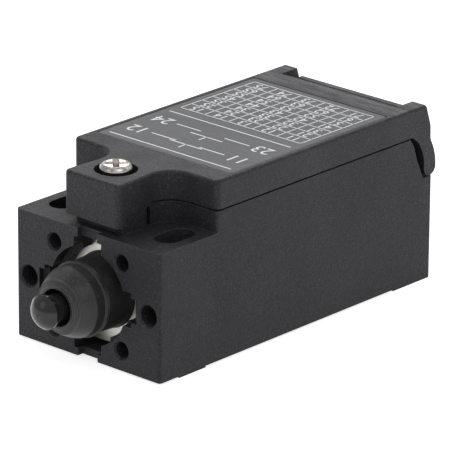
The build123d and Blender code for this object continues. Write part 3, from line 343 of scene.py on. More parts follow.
def rubbed_places_and_sheen_group():
    """Mask of pale streaks across what faces up, beyond a place along X: rubbing where hands open the cover,
    and a painted sheen of light on those tops.
    """
    group, given, out = start_group(
        "Rubbed places and sheen",
        (("Start", "NodeSocketFloat", 0.0), ("Amount", "NodeSocketFloat", 0.5)),
        (("Mask", "NodeSocketFloat"),),
    )
    place = group.nodes.new("ShaderNodeTexCoord").outputs["Object"]
    spread = group.nodes.new("ShaderNodeMapping")
    spread.inputs["Scale"].default_value = (620.0, 130.0, 130.0)
    group.links.new(place, spread.inputs["Vector"])
    streaks = noise_node(group, spread.outputs["Vector"], 1.0, 5.0, 0.65)
    streaks = math_node(group, "MULTIPLY_ADD", streaks, 4.2, -1.75, clamp=True)
    parts = group.nodes.new("ShaderNodeSeparateXYZ")
    group.links.new(place, parts.inputs[0])
    beyond = math_node(group, "SUBTRACT", given.outputs["Start"], parts.outputs["X"])
    beyond = math_node(group, "MULTIPLY", beyond, 900.0, clamp=True)
    geometry = group.nodes.new("ShaderNodeNewGeometry")
    facing = group.nodes.new("ShaderNodeSeparateXYZ")
    group.links.new(geometry.outputs["Normal"], facing.inputs[0])
    upward = math_node(group, "MULTIPLY_ADD", facing.outputs["Z"], 4.0, -3.0, clamp=True)
    mask = math_node(group, "MULTIPLY", math_node(group, "MULTIPLY", streaks, beyond), upward)
    put_out_mask(group, mask, given, out)
    return group


def recess_shade_group():
    """Mask of painted shade in a driver recess: the middle of a screw's head, below its crown."""
    group, given, out = start_group(
        "Recess shade",
        (("Crown", "NodeSocketVector", (0.0, 0.0, 0.0)), ("Reach", "NodeSocketFloat", 2.0 * MM),
         ("Depth", "NodeSocketFloat", 1.5 * MM)),
        (("Mask", "NodeSocketFloat"),),
    )
    place = group.nodes.new("ShaderNodeTexCoord").outputs["Object"]
    offset = group.nodes.new("ShaderNodeVectorMath")
    offset.operation = "SUBTRACT"
    group.links.new(place, offset.inputs[0])
    group.links.new(given.outputs["Crown"], offset.inputs[1])
    parts = group.nodes.new("ShaderNodeSeparateXYZ")
    group.links.new(offset.outputs["Vector"], parts.inputs[0])
    across = math_node(group, "MULTIPLY", parts.outputs["X"], parts.outputs["X"])
    across = math_node(group, "MULTIPLY_ADD", parts.outputs["Y"], parts.outputs["Y"], across)
    within = math_node(group, "SUBTRACT", given.outputs["Reach"], math_node(group, "SQRT", across))
    within = math_node(group, "MULTIPLY", within, 2500.0, clamp=True)
    below = math_node(group, "MULTIPLY_ADD", parts.outputs["Z"], -6000.0, -0.5, clamp=True)
    above = math_node(group, "ADD", parts.outputs["Z"], given.outputs["Depth"])
    above = math_node(group, "MULTIPLY", above, 9000.0, clamp=True)
    patches = math_node(group, "MULTIPLY_ADD", noise_node(group, place, 1500.0, 3.0), 2.6, -0.55, clamp=True)
    mask = math_node(group, "MULTIPLY", math_node(group, "MULTIPLY", within, below), above)
    group.links.new(math_node(group, "MULTIPLY", mask, patches), out.inputs["Mask"])
    return group


def drawn_lines_group():
    """Faint lines that rolling, turning or drawing leaves in metal."""
    group, given, out = start_group(
        "Drawn lines",
        (("Stretch", "NodeSocketVector", (60.0, 2400.0, 2400.0)), ("Patch", "NodeSocketFloat", 420.0)),
        (("Line", "NodeSocketFloat"), ("Tarnish", "NodeSocketFloat")),
    )
    place = group.nodes.new("ShaderNodeTexCoord").outputs["Object"]
    mapping = group.nodes.new("ShaderNodeMapping")
    group.links.new(place, mapping.inputs["Vector"])
    group.links.new(given.outputs["Stretch"], mapping.inputs["Scale"])
    group.links.new(noise_node(group, mapping.outputs["Vector"], 1.0, 3.0), out.inputs["Line"])
    group.links.new(noise_node(group, place, given.outputs["Patch"], 4.0), out.inputs["Tarnish"])
    return group


GROUPS = {}


def effect(tree, name, **values):
    """Places one of the shared effects in a material, with its own values."""
    if name not in GROUPS:
        GROUPS[name] = {
            "Moulded grain": moulded_grain_group,
            "Edge wear and highlight": edge_wear_and_highlight_group,
            "Settled dust": settled_dust_group,
            "Rubbed places and sheen": rubbed_places_and_sheen_group,
            "Recess shade": recess_shade_group,
            "Drawn lines": drawn_lines_group,
        }[name]()
    node = tree.nodes.new("ShaderNodeGroup")
    node.node_tree = GROUPS[name]
    for socket, value in values.items():
        node.inputs[socket].default_value = value
    return node


def start_material(name):
    """A material with an empty Principled shader: the material, its tree and the shader."""
    material = bpy.data.materials.new(name)
    material.use_nodes = True
    tree = material.node_tree
    return material, tree, tree.nodes["Principled BSDF"]


def bump_node(tree, height, strength, distance, normal=None):
    """A Bump node's normal."""
    node = tree.nodes.new("ShaderNodeBump")
    node.inputs["Strength"].default_value = strength
    node.inputs["Distance"].default_value = distance
    tree.links.new(height, node.inputs["Height"])
    if normal is not None:
        tree.links.new(normal, node.inputs["Normal"])
    return node.outputs["Normal"]


# Finishes ---------------------------------------------------------------------------------------


def textured_plastic(name, colour, grain, edge, roughness=0.52, specular=0.31, fleck=0.8, depth=0.24 * MM,
                     wear_and_highlight=1.0, dust=0.25, rubbed_sheen_from=None):
    """Glass-filled plastic from a spark-eroded mould: grain, filler flecks, edges lighter with wear and
    painted highlight, dust.
    """
    material, tree, shader = start_material(name)
    texture = effect(tree, "Moulded grain", Size=grain, Fleck=fleck)
    edges = effect(tree, "Edge wear and highlight", Width=edge, Amount=wear_and_highlight)
    dusty = effect(tree, "Settled dust", Amount=dust)
    base = mix_colour(tree, texture.outputs["Cloud"], shifted(colour, 0.70), shifted(colour, 1.30))
    mottled = mix_colour(tree, texture.outputs["Mottle"], (0.62, 0.62, 0.64), (1.38, 1.38, 1.40))
    base = mix_colour(tree, 1.0, base, mottled, "MULTIPLY")
    base = mix_colour(tree, texture.outputs["Fleck"], base, shifted(colour, 2.8, 0.035))
    # Edges lighter: partly wear, partly a painted highlight where light catches them.
    base = mix_colour(tree, edges.outputs["Mask"], base, shifted(colour, 3.0, 0.07))
    base = mix_colour(tree, dusty.outputs["Mask"], base, shifted(colour, 0.5, 0.11))
    rough = math_node(tree, "MULTIPLY_ADD", texture.outputs["Cloud"], 0.16, roughness - 0.08)
    rough = math_node(tree, "MULTIPLY_ADD", edges.outputs["Mask"], -0.10, rough)
    if rubbed_sheen_from is not None:
        rubbed_and_sheen = effect(tree, "Rubbed places and sheen", Start=rubbed_sheen_from, Amount=0.7)
        # Lighter streaks on the rear tops: partly rubbing, partly a painted sheen of light.
        base = mix_colour(tree, rubbed_and_sheen.outputs["Mask"], base, shifted(colour, 2.0, 0.08))
        rough = math_node(tree, "MULTIPLY_ADD", rubbed_and_sheen.outputs["Mask"], -0.18, rough)
    tree.links.new(base, shader.inputs["Base Color"])
    tree.links.new(rough, shader.inputs["Roughness"])
    shader.inputs["Specular IOR Level"].default_value = specular
    shader.inputs["Specular Tint"].default_value = (0.95, 0.93, 1.0, 1.0)
    normal = bump_node(tree, texture.outputs["Height"], 0.7, depth, edges.outputs["Normal"])
    tree.links.new(normal, shader.inputs["Normal"])
    return material


def smooth_plastic(name, colour, edge, roughness=0.28, specular=0.5, wear_and_highlight=0.2):
    """Plastic from a polished mould, with faint flow marks, a little dust, and edges lighter with wear and
    painted highlight.
    """
    material, tree, shader = start_material(name)
    texture = effect(tree, "Moulded grain", Size=1.3 * MM, Fleck=0.0)
    edges = effect(tree, "Edge wear and highlight", Width=edge, Amount=wear_and_highlight)
    dusty = effect(tree, "Settled dust", Amount=0.18)
    base = mix_colour(tree, texture.outputs["Cloud"], shifted(colour, 0.85), shifted(colour, 1.2))
    # Edges lighter: partly wear, partly a painted highlight along rims.
    base = mix_colour(tree, edges.outputs["Mask"], base, shifted(colour, 1.8, 0.02))
    base = mix_colour(tree, dusty.outputs["Mask"], base, shifted(colour, 0.5, 0.10))
    tree.links.new(base, shader.inputs["Base Color"])
    rough = math_node(tree, "MULTIPLY_ADD", texture.outputs["Cloud"], 0.16, roughness - 0.08)
    tree.links.new(rough, shader.inputs["Roughness"])
    shader.inputs["Specular IOR Level"].default_value = specular
    normal = bump_node(tree, texture.outputs["Height"], 0.12, 0.02 * MM, edges.outputs["Normal"])
    tree.links.new(normal, shader.inputs["Normal"])
    return material


def moulded_rubber(name, colour, edge, roughness=0.40, sheen=0.03):
    """Rubber: soft sheen, fine skin, a little bloom and dust, and edges lighter with wear and painted
    highlight along its ridges.
    """
    material, tree, shader = start_material(name)
    texture = effect(tree, "Moulded grain", Size=0.24 * MM, Fleck=0.12)
    edges = effect(tree, "Edge wear and highlight", Width=1.2 * edge, Amount=2.4)
    dusty = effect(tree, "Settled dust", Amount=0.45)
    base = mix_colour(tree, texture.outputs["Cloud"], colour, shifted(colour, 1.5, 0.004))
    place = tree.nodes.new("ShaderNodeTexCoord").outputs["Object"]
    bloom = math_node(tree, "MULTIPLY_ADD", noise_node(tree, place, 380.0, 5.0, 0.65), 2.4, -1.0, clamp=True)
    base = mix_colour(tree, math_node(tree, "MULTIPLY", bloom, 0.8), base, (0.048, 0.046, 0.050))
    # Ridges and rims lighter: partly wear, partly a painted highlight of the thin light ring lines.
    base = mix_colour(tree, edges.outputs["Mask"], base, shifted(colour, 2.0, 0.12))
    base = mix_colour(tree, dusty.outputs["Mask"], base, (0.14, 0.137, 0.130))
    tree.links.new(base, shader.inputs["Base Color"])
    rough = math_node(tree, "MULTIPLY_ADD", texture.outputs["Cloud"], 0.2, roughness - 0.1)
    tree.links.new(rough, shader.inputs["Roughness"])
    shader.inputs["Specular IOR Level"].default_value = 0.4
    shader.inputs["Sheen Weight"].default_value = sheen
    normal = bump_node(tree, texture.outputs["Height"], 0.35, 0.02 * MM, edges.outputs["Normal"])
    tree.links.new(normal, shader.inputs["Normal"])
    return material


def worked_metal(name, colour, edge, roughness, stretch=(900.0, 900.0, 900.0), tarnish=0.25, line=0.12,
                 patch=420.0, crown=None):
    """Metal with faint working lines, an uneven, slightly dulled surface, edges lighter with wear and
    painted highlight, and painted shade in a driver recess where a crown is given.
    """
    material, tree, shader = start_material(name)
    lines = effect(tree, "Drawn lines", Stretch=stretch, Patch=patch)
    edges = effect(tree, "Edge wear and highlight", Width=edge, Amount=0.5)
    dull = shifted(colour, 1.0 - tarnish)
    dull[1] *= 1.0 - 0.10 * tarnish
    dull[2] *= 1.0 - 0.20 * tarnish
    dulled = math_node(tree, "MULTIPLY_ADD", lines.outputs["Tarnish"], 2.2, -0.6, clamp=True)
    base = mix_colour(tree, dulled, colour, dull)
    # Edges lighter: partly wear, partly a painted highlight.
    base = mix_colour(tree, edges.outputs["Mask"], base, shifted(colour, 1.15))
    if crown is not None:
        # Painted shade: the driver recess is darkened to stand in for the shade inside it.
        painted_shade = effect(tree, "Recess shade", Crown=crown)
        base = mix_colour(tree, painted_shade.outputs["Mask"], base, (0.055, 0.040, 0.026))
    tree.links.new(base, shader.inputs["Base Color"])
    rough = math_node(tree, "MULTIPLY_ADD", lines.outputs["Line"], 2.0 * line, roughness - line)
    rough = math_node(tree, "MULTIPLY_ADD", lines.outputs["Tarnish"], 0.10, rough)
    tree.links.new(rough, shader.inputs["Roughness"])
    shader.inputs["Metallic"].default_value = 1.0
    normal = bump_node(tree, lines.outputs["Line"], 0.10, 0.01 * MM, edges.outputs["Normal"])
    tree.links.new(normal, shader.inputs["Normal"])
    return material


def plate_film(name, colour, edge):
    """Semi-gloss film of the rating plate: orange peel, hairline scratches, a little dust, and edges lighter
    with wear and painted highlight.
    """
    material, tree, shader = start_material(name)
    texture = effect(tree, "Moulded grain", Size=0.5 * MM, Fleck=0.15)
    scratches = effect(tree, "Drawn lines", Stretch=(1500.0, 40.0, 40.0))
    edges = effect(tree, "Edge wear and highlight", Width=edge, Amount=0.4)
    dusty = effect(tree, "Settled dust", Amount=0.35)
    base = mix_colour(tree, texture.outputs["Cloud"], shifted(colour, 0.9), shifted(colour, 1.12))
    # Edges lighter: partly wear, partly a painted highlight.
    base = mix_colour(tree, edges.outputs["Mask"], base, shifted(colour, 2.5))
    base = mix_colour(tree, dusty.outputs["Mask"], base, (0.16, 0.16, 0.16))
    tree.links.new(base, shader.inputs["Base Color"])
    rough = math_node(tree, "MULTIPLY_ADD", scratches.outputs["Line"], 0.14, 0.26)
    tree.links.new(rough, shader.inputs["Roughness"])
    shader.inputs["Specular IOR Level"].default_value = 0.19
    shader.inputs["Specular Tint"].default_value = (0.84, 0.885, 1.0, 1.0)
    normal = bump_node(tree, texture.outputs["Height"], 0.18, 0.012 * MM, edges.outputs["Normal"])
    tree.links.new(normal, shader.inputs["Normal"])
    return material


def printed_ink(name, colour):
    """Screen-printed ink, thin enough to let a little of the film through."""
    material, tree, shader = start_material(name)
    texture = effect(tree, "Moulded grain", Size=0.3 * MM, Fleck=0.0)
    base = mix_colour(tree, texture.outputs["Cloud"], shifted(colour, 0.82), shifted(colour, 1.08))
    tree.links.new(base, shader.inputs["Base Color"])
    rough = math_node(tree, "MULTIPLY_ADD", texture.outputs["Cloud"], 0.15, 0.40)
    tree.links.new(rough, shader.inputs["Roughness"])
    normal = bump_node(tree, texture.outputs["Height"], 0.15, 0.01 * MM)
    tree.links.new(normal, shader.inputs["Normal"])
    return material


# Model helpers ----------------------------------------------------------------------------------


def deselect_everything():
    """Clears the selection, which an operator would otherwise also act on."""
    for thing in bpy.context.view_layer.objects:
        thing.select_set(False)


def select_only(*things):
    """Selects these objects and makes the first one active."""
    deselect_everything()
    for thing in things:
        thing.select_set(True)
    bpy.context.view_layer.objects.active = things[0]


def nodes_in_slot(slot_name):
    """The frame's nodes that take their finish from a material slot."""
    return [part["node"] for part in frame["record"]["subparts"] if part["material_slot"] == slot_name]


def dress(slot_name, material):
    """Gives a material to every CAD node of a slot."""
    found = nodes_in_slot(slot_name)
    if not found:
        raise RuntimeError(f"no node uses the slot {slot_name}")
    for node in found:
        thing = frame["nodes"][node]
        if not thing.material_slots:
            thing.data.materials.append(material)
        for place in thing.material_slots:
            place.material = material


def material_for(slot_name):
    """The material that a slot's nodes already wear."""
    return frame["nodes"][nodes_in_slot(slot_name)[0]].material_slots[0].material


def settle(piece, name, material, body):
    """Finishes a piece: its place goes into its mesh, and it gets its name, finish and body."""
    select_only(piece)
    bpy.ops.object.transform_apply(location=True, rotation=True, scale=True)
    piece.name = name
    piece.data.name = name
    piece.data.materials.clear()
    piece.data.materials.append(material)
    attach(piece, body)
    return piece


def merge_and_turn_out(piece):
    """Merges doubled points and makes the faces point outwards."""
    select_only(piece)
    bpy.ops.object.mode_set(mode="EDIT")
    bpy.ops.mesh.select_all(action="SELECT")
    bpy.ops.mesh.remove_doubles(threshold=0.0005 * MM)
    bpy.ops.mesh.normals_make_consistent(inside=False)
    bpy.ops.object.mode_set(mode="OBJECT")


def join_pieces(pieces):
    """Joins pieces into the first one."""
    select_only(*pieces)
    bpy.ops.object.join()
    return bpy.context.view_layer.objects.active


def sweep_profile(profile, pitch, turns, steps, height):
    """Winds a closed profile into a helix about an axis along X at a height, and caps its ends."""
    select_only(profile)
    winding = profile.modifiers.new("winding", "SCREW")
    winding.axis = "X"
    winding.angle = 2 * pi
    winding.screw_offset = pitch
    winding.iterations = turns
    winding.steps = steps
    winding.render_steps = steps
    winding.use_merge_vertices = False
    bpy.ops.object.modifier_apply(modifier=winding.name)
    bpy.ops.object.mode_set(mode="EDIT")
    bpy.ops.mesh.select_mode(type="EDGE")
    bpy.ops.mesh.select_all(action="DESELECT")
    bpy.ops.mesh.select_non_manifold(extend=False)
    bpy.ops.mesh.edge_face_add()
    bpy.ops.object.mode_set(mode="OBJECT")
    profile.location.z += height
    bpy.ops.object.transform_apply(location=True, rotation=True, scale=True)
    return profile


def add_coil_spring(node, wire, turns, material, body):
    """A coil spring in a CAD spring's place: round wire, with a closed turn at each end."""
    low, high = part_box(node)
    radius = (high[1] - low[1]) / 2 - wire / 2
    wire_sides = 10
    steps = 26
    pitch = (high[0] - low[0] - wire) / turns
    deselect_everything()
    bpy.ops.mesh.primitive_circle_add(
        vertices=wire_sides, radius=wire / 2, location=(low[0] + wire / 2, radius, 0.0), fill_type="NOTHING"
    )
    coil = bpy.context.active_object
    bpy.ops.object.transform_apply(location=True, rotation=True, scale=True)
    sweep_profile(coil, pitch, turns, steps, (low[2] + high[2]) / 2)
    close_end_turns(coil, wire_sides, low[0] + wire / 2, high[0] - wire / 2, pitch, wire, turns)
    merge_and_turn_out(coil)
    bpy.ops.object.shade_smooth()
    settle(coil, node + "_coil", material, body)
    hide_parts(node)
    return coil


def close_end_turns(coil, wire_sides, first_x, last_x, pitch, wire, turns):
    """Draws the first and last turn of an evenly wound coil together, so that they lie flat."""
    closed = 1.04 * wire
    open_pitch = (last_x - first_x - 2 * closed) / (turns - 2)
    mesh = bmesh.new()
    mesh.from_mesh(coil.data)
    mesh.verts.ensure_lookup_table()
    for start in range(0, len(mesh.verts), wire_sides):
        points = mesh.verts[start:start + wire_sides]
        middle = sum((point.co.x for point in points)) / len(points)
        turn = (middle - first_x) / pitch
        if turn < 1.0:
            wanted = first_x + closed * turn
        elif turn > turns - 1:
            wanted = last_x - closed * (turns - turn)
        else:
            wanted = first_x + closed + open_pitch * (turn - 1.0)
        for point in points:
            point.co.x += wanted - middle
    mesh.to_mesh(coil.data)
    mesh.free()


def plate_place(u, v):
    """A place on the rating plate: u along a line of print, v up from its foot."""
    low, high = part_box("rating_plate")
    return low[0] + v, high[1] - u, high[2]


def print_figure(body, u, v, size, ink_height):
    """A plain number on the rating plate, centred on its place."""
    x, y, z = plate_place(u, v)
    deselect_everything()
    bpy.ops.object.text_add(location=(x, y, z + ink_height / 2), rotation=(0.0, 0.0, -pi / 2))
    figure = bpy.context.active_object
    figure.data.body = body
    figure.data.size = size / 0.69
    figure.data.align_x = "CENTER"
    figure.data.align_y = "CENTER"
    figure.data.extrude = ink_height / 2
    figure.data.resolution_u = 3
    bpy.ops.object.convert(target="MESH")
    figure = bpy.context.active_object
    bpy.ops.object.transform_apply(location=True, rotation=True, scale=True)
    return figure


def print_rule(u_start, u_end, v_start, v_end, width, ink_height):
    """A printed line between two places on the rating plate."""
    first = Vector(plate_place(u_start, v_start))
    last = Vector(plate_place(u_end, v_end))
    run = last - first
    middle = (first + last) / 2
    deselect_everything()
    bpy.ops.mesh.primitive_cube_add(
        size=1.0, location=(middle.x, middle.y, middle.z + ink_height / 2),
        scale=(run.length + width, width, ink_height),
    )
    rule = bpy.context.active_object
    rule.rotation_euler.z = Vector((run.x, run.y)).angle_signed(Vector((1.0, 0.0)))
    bpy.ops.object.transform_apply(location=True, rotation=True, scale=True)
    return rule


# Operators --------------------------------------------------------------------------------------


class LIMIT_SWITCH_OT_shells(bpy.types.Operator):
    """Finishes the box, the hinged cover and its gasket"""

    bl_idname = "limit_switch.shells"
    bl_label = "Box and cover"

    def execute(self, context):
        look = context.scene.limit_switch_moulded
        grain, edge = look.grain_size, look.edge_width
        dress("housing", textured_plastic("box_plastic", look.housing_colour[:], grain, edge))
        hinge_ledge_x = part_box("rating_plate")[0][0]
        # The cover's rear tops, beyond the plate, get rubbing and a painted sheen.
        dress("cover_shell", textured_plastic("cover_plastic", look.cover_colour[:], grain, edge,
                                              specular=0.34, dust=0.4, rubbed_sheen_from=hinge_ledge_x))
        dress("gasket", moulded_rubber("gasket_rubber", look.gasket_colour[:], edge))
        return {"FINISHED"}


class LIMIT_SWITCH_OT_actuator(bpy.types.Operator):
    """Finishes the plunger, its rubber boot, its bushing and the plate behind them"""

    bl_idname = "limit_switch.actuator"
    bl_label = "Plunger and boot"

    def execute(self, context):
        look = context.scene.limit_switch_moulded
        metal = context.scene.limit_switch_metal
        edge = look.edge_width
        dress("plunger", smooth_plastic("plunger_plastic", look.plunger_colour[:], edge,
                                        roughness=0.14, specular=0.42, wear_and_highlight=1.0))
        dress("boot", moulded_rubber("boot_rubber", look.boot_colour[:], edge))
        dress("bushing", textured_plastic("bushing_plastic", look.bushing_colour[:], 0.5 * MM, edge,
                                          fleck=0.2))
        dress("nose_plate", worked_metal("nose_plate_steel", metal.plate_colour[:], edge, 0.36,
                                         stretch=(400.0, 120.0, 2600.0), tarnish=0.12))
        return {"FINISHED"}


class LIMIT_SWITCH_OT_fasteners(bpy.types.Operator):
    """Finishes the cover screw, the threaded insert and the small screws"""

    bl_idname = "limit_switch.fasteners"
    bl_label = "Screws and insert"

    def execute(self, context):
        metal = context.scene.limit_switch_metal
        edge = context.scene.limit_switch_moulded.edge_width
        low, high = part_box("cover_screw")
        crown = ((low[0] + high[0]) / 2, (low[1] + high[1]) / 2, high[2])
        dress("screw_nickel", worked_metal("screw_nickel", metal.nickel_colour[:], 0.6 * edge, 0.11,
                                           stretch=(700.0, 700.0, 2200.0), tarnish=0.72, line=0.05,
                                           patch=950.0, crown=crown))
        dress("zinc_steel", worked_metal("plated_steel", metal.zinc_colour[:], 0.6 * edge, 0.30,
                                         stretch=(700.0, 700.0, 2200.0), tarnish=0.2, line=0.08))
        dress("brass", worked_metal("turned_brass", metal.brass_colour[:], 0.6 * edge, 0.28, tarnish=0.3))
        return {"FINISHED"}


class LIMIT_SWITCH_OT_contacts(bpy.types.Operator):
    """Finishes the contact block, its carrier, its bridges and its contact tips"""

    bl_idname = "limit_switch.contacts"
    bl_label = "Contact block"

    def execute(self, context):
        look = context.scene.limit_switch_moulded
        metal = context.scene.limit_switch_metal
        edge = look.edge_width
        dress("block_plastic", smooth_plastic("block_plastic", look.block_colour[:], edge, roughness=0.46))
        dress("carrier_plastic", smooth_plastic("carrier_plastic", look.carrier_colour[:], edge,
                                                roughness=0.34))
        dress("contact_copper", worked_metal("contact_strip", metal.copper_colour[:], 0.5 * edge, 0.30,
                                             stretch=(2400.0, 120.0, 2400.0), tarnish=0.3))
        dress("contact_silver", worked_metal("contact_silver", metal.silver_colour[:], 0.5 * edge, 0.20))
        return {"FINISHED"}


class LIMIT_SWITCH_OT_rating_plate(bpy.types.Operator):
    """Finishes the rating plate and prints a plain contact diagram and a number table on it"""

    bl_idname = "limit_switch.rating_plate"
    bl_label = "Rating plate"

    def execute(self, context):
        plate = context.scene.limit_switch_plate
        edge = context.scene.limit_switch_moulded.edge_width
        dress("rating_plate", plate_film("plate_film", plate.film_colour[:], edge))
        ink = printed_ink("print_ink", plate.ink_colour[:])
        low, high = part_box("rating_plate")
        length, width = high[0] - low[0], high[1] - low[1]
        left, right = plate.margin, width - plate.margin
        foot, head = plate.margin, length - plate.margin
        table_head = foot + 0.52 * (head - foot)
        marks = self.diagram(plate, left, right, table_head + 2.4 * MM, head)
        marks += self.table(plate, left, right, foot, table_head)
        printed = join_pieces(marks)
        merge_and_turn_out(printed)
        settle(printed, "plate_print", ink, "cover")
        return {"FINISHED"}

    def diagram(self, plate, left, right, foot, head):
        """Two contact symbols with their terminal numbers, between two rules."""
        rule, ink = plate.rule_width, plate.ink_height
        marks = [
            print_rule(left, right, head, head, rule, ink),
            print_rule(left, right, foot, foot, rule, ink),
        ]
        middle = (left + right) / 2
        figure_run = 0.17 * (right - left)
        rows = (
            (("11", "12"), 0.70, True),
            (("23", "24"), 0.28, False),
        )
        for (first, last), share, closed in rows:
            v = foot + share * (head - foot)
            lift = 0.0 if closed else 1.5 * MM
            marks.append(print_figure(first, left + figure_run / 2, v, plate.large_figure, ink))
            marks.append(print_figure(last, right - figure_run / 2, v, plate.large_figure, ink))
            gap = 2.6 * MM
            marks.append(print_rule(left + figure_run + 0.8 * MM, middle - gap, v, v, rule, ink))
            marks.append(print_rule(middle + gap, right - figure_run - 0.8 * MM, v, v, rule, ink))
            bridge_v = v + lift + (0.45 * MM if closed else 0.0)
            reach = gap + 0.6 * MM
            marks.append(print_rule(middle - reach, middle + reach, bridge_v, bridge_v, rule, ink))
            marks.append(print_rule(middle, middle, bridge_v, bridge_v + 1.6 * MM, rule, ink))
        return marks

    def table(self, plate, left, right, foot, head):
        """A ruled table of plain numbers."""
        rule, ink = plate.rule_width, plate.ink_height
        rows, columns = plate.table_rows, plate.table_columns
        row_height = (head - foot) / rows
        column_width = (right - left) / columns
        marks = []
        for row in range(rows + 1):
            v = foot + row * row_height
            marks.append(print_rule(left, right, v, v, 0.7 * rule, ink))
        for column in range(columns + 1):
            u = left + column * column_width
            marks.append(print_rule(u, u, foot, head, 0.7 * rule, ink))
        for row in range(rows):
            for column in range(columns):
                number = str((rows - row) * 10 + column + 1)
                u = left + (column + 0.5) * column_width
                v = foot + (row + 0.5) * row_height
                marks.append(print_figure(number, u, v, plate.small_figure, ink))
        return marks


class LIMIT_SWITCH_OT_springs(bpy.types.Operator):
    """Winds the four coil springs and finishes the other spring-steel parts"""

    bl_idname = "limit_switch.springs"
    bl_label = "Springs"

    def execute(self, context):
        hardware = context.scene.limit_switch_hardware
        edge = context.scene.limit_switch_moulded.edge_width
        colour = context.scene.limit_switch_metal.spring_colour[:]
        steel = worked_metal("spring_wire", colour, 0.5 * edge, 0.30,
                             stretch=(500.0, 500.0, 500.0), tarnish=0.2)
        dress("spring_steel", steel)
        main = add_coil_spring("plunger_spring", hardware.main_wire, 6, steel, "box")
        back = add_coil_spring("return_spring", hardware.return_wire, 8, steel, "box")
        add_coil_spring("nc_spring", hardware.contact_wire, 6, steel, "nc_bridge")
        rear = add_coil_spring("no_spring", hardware.contact_wire, 5, steel, "no_bridge")
        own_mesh(main)
        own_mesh(back)
        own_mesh(rear)
        return {"FINISHED"}


class LIMIT_SWITCH_OT_conduit_thread(bpy.types.Operator):
    """Winds the ridges of the thread inside the conduit entry"""

    bl_idname = "limit_switch.conduit_thread"
    bl_label = "Conduit thread"

    def execute(self, context):
        hardware = context.scene.limit_switch_hardware
        pitch, crest = hardware.thread_pitch, hardware.thread_height
        rear_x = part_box("switch_box")[0][0]
        bore = hardware.conduit_radius
        runout = 1.1 * MM
        first_x = rear_x + runout
        turns = int((hardware.conduit_wall - 2 * runout) / pitch)
        flank = 0.45 * pitch
        deselect_everything()
        bpy.ops.mesh.primitive_circle_add(
            vertices=3, radius=crest, location=(0.0, 0.0, 0.0), fill_type="NOTHING"
        )
        ridge = bpy.context.active_object
        corners = (
            (first_x, bore + 0.05 * MM),
            (first_x + 2 * flank, bore + 0.05 * MM),
            (first_x + flank, bore - crest),
        )
        for point, (x, radius) in zip(ridge.data.vertices, corners):
            point.co = (x, radius, 0.0)
        sweep_profile(ridge, pitch, turns, 48, hardware.conduit_height)
        merge_and_turn_out(ridge)
        bpy.ops.object.shade_smooth_by_angle(angle=radians(40))
        settle(ridge, "conduit_thread", material_for("housing"), "box")
        return {"FINISHED"}


class LIMIT_SWITCH_OT_stage(bpy.types.Operator):
    """Adds the floor, the even light and the camera"""

    bl_idname = "limit_switch.stage"
    bl_label = "Stage"

    def execute(self, context):
        stage = context.scene.limit_switch_stage
        self.floor(stage)
        self.world(context.scene, stage)
        self.lamp("key_lamp", (0.10, 0.75, 0.85), 0.70, 1.2)
        self.lamp("fill_lamp", (0.95, -0.35, 0.60), 0.60, 0.8)
        self.lamp("back_lamp", (-0.62, -0.56, 0.66), 0.70, 3.6)
        self.camera(context.scene, stage)
        scene = context.scene
        scene.view_settings.view_transform = "Standard"
        return {"FINISHED"}

    def floor(self, stage):
        """A pale floor that the camera and reflections see as white, with the object's soft shadow."""
        deselect_everything()
        bpy.ops.mesh.primitive_plane_add(size=stage.floor_size, location=(0.0, 0.0, -0.02 * MM))
        floor = bpy.context.active_object
        bpy.ops.object.transform_apply(location=True, rotation=True, scale=True)
        floor.name = "floor"
        material = bpy.data.materials.new("floor_paper")
        material.use_nodes = True
        tree = material.node_tree
        tree.nodes.clear()
        paths = tree.nodes.new("ShaderNodeLightPath")
        seen = paths.outputs["Is Camera Ray"]
        seen = math_node(tree, "ADD", seen, paths.outputs["Is Glossy Ray"], clamp=True)
        seen = math_node(tree, "ADD", seen, paths.outputs["Is Transmission Ray"], clamp=True)
        paper = tree.nodes.new("ShaderNodeBsdfDiffuse")
        paper.inputs["Color"].default_value = (*stage.floor_colour, 1.0)
        glow = tree.nodes.new("ShaderNodeEmission")
        tree.links.new(math_node(tree, "MULTIPLY", seen, stage.floor_glow), glow.inputs["Strength"])
        both = tree.nodes.new("ShaderNodeAddShader")
        tree.links.new(paper.outputs[0], both.inputs[0])
        tree.links.new(glow.outputs[0], both.inputs[1])
        out = tree.nodes.new("ShaderNodeOutputMaterial")
        tree.links.new(both.outputs[0], out.inputs["Surface"])
        floor.data.materials.append(material)

    def world(self, scene, stage):
        """An even white surround."""
        world = bpy.data.worlds.new("even_light")
        world.use_nodes = True
        ground = world.node_tree.nodes["Background"]
        ground.inputs["Color"].default_value = (1.0, 1.0, 1.0, 1.0)
        ground.inputs["Strength"].default_value = stage.world_strength
        scene.world = world

    def lamp(self, name, place, size, power):
        """A soft square lamp that faces the object."""
        light = bpy.data.lights.new(name, "AREA")
        light.size = size
        light.energy = power
        lamp = bpy.data.objects.new(name, light)
        lamp.location = place
        aim = Vector((-0.02, 0.0, 0.012)) - Vector(place)
        lamp.rotation_euler = aim.to_track_quat("-Z", "Y").to_euler()
        bpy.context.collection.objects.link(lamp)

    def camera(self, scene, stage):
        """A long lens that looks down on the nose and the side."""
        lens = bpy.data.cameras.new("camera")
        lens.lens = stage.lens
        lens.sensor_width = 36.0
        lens.sensor_fit = "HORIZONTAL"
        lens.clip_start = 0.05
        camera = bpy.data.objects.new("camera", lens)
        turn, tilt, roll = stage.azimuth, stage.elevation, stage.roll
        back = Vector((sin(turn) * cos(tilt), -cos(turn) * cos(tilt), sin(tilt)))
        right = Vector((cos(turn), sin(turn), 0.0))
        up = back.cross(right)
        across = cos(roll) * right + sin(roll) * up
        upward = -sin(roll) * right + cos(roll) * up
        turned = Matrix((across, upward, back)).transposed().to_4x4()
        camera.matrix_world = Matrix.Translation(stage.camera_place) @ turned
        bpy.context.collection.objects.link(camera)
        scene.camera = camera


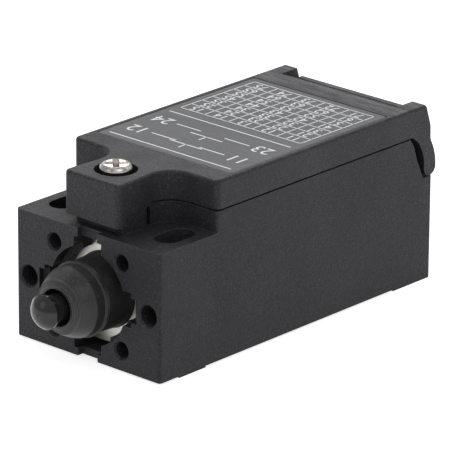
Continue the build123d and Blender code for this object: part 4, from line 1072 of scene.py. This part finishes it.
class LIMIT_SWITCH_PT_looks(bpy.types.Panel):
    """Lists the steps and their settings"""

    bl_idname = "LIMIT_SWITCH_PT_looks"
    bl_label = "Limit switch"
    bl_space_type = "VIEW_3D"
    bl_region_type = "UI"
    bl_category = "Limit switch"

    def draw(self, context):
        for step in STEPS:
            self.layout.operator(step.bl_idname)
        for group, _ in GROUP_NAMES:
            box = self.layout.box()
            settings = getattr(context.scene, group)
            for setting in settings.__annotations__:
                box.prop(settings, setting)


STEPS = (
    LIMIT_SWITCH_OT_shells,
    LIMIT_SWITCH_OT_actuator,
    LIMIT_SWITCH_OT_fasteners,
    LIMIT_SWITCH_OT_contacts,
    LIMIT_SWITCH_OT_rating_plate,
    LIMIT_SWITCH_OT_springs,
    LIMIT_SWITCH_OT_conduit_thread,
    LIMIT_SWITCH_OT_stage,
)
GROUP_NAMES = (
    ("limit_switch_moulded", MouldedSettings),
    ("limit_switch_metal", MetalSettings),
    ("limit_switch_plate", PlateSettings),
    ("limit_switch_hardware", HardwareSettings),
    ("limit_switch_stage", StageSettings),
)


def register():
    """Registers the settings, the steps and the panel."""
    for name, settings in GROUP_NAMES:
        bpy.utils.register_class(settings)
        setattr(bpy.types.Scene, name, PointerProperty(type=settings))
    for step in STEPS:
        bpy.utils.register_class(step)
    bpy.utils.register_class(LIMIT_SWITCH_PT_looks)


def unregister():
    """Removes what register added."""
    bpy.utils.unregister_class(LIMIT_SWITCH_PT_looks)
    for step in reversed(STEPS):
        bpy.utils.unregister_class(step)
    for name, settings in reversed(GROUP_NAMES):
        delattr(bpy.types.Scene, name)
        bpy.utils.unregister_class(settings)


def main():
    """Runs every step in order."""
    register()
    deselect_everything()
    bpy.ops.limit_switch.shells()
    bpy.ops.limit_switch.actuator()
    bpy.ops.limit_switch.fasteners()
    bpy.ops.limit_switch.contacts()
    bpy.ops.limit_switch.rating_plate()
    bpy.ops.limit_switch.springs()
    bpy.ops.limit_switch.conduit_thread()
    bpy.ops.limit_switch.stage()
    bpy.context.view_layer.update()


if __name__ == "__main__":
    main()
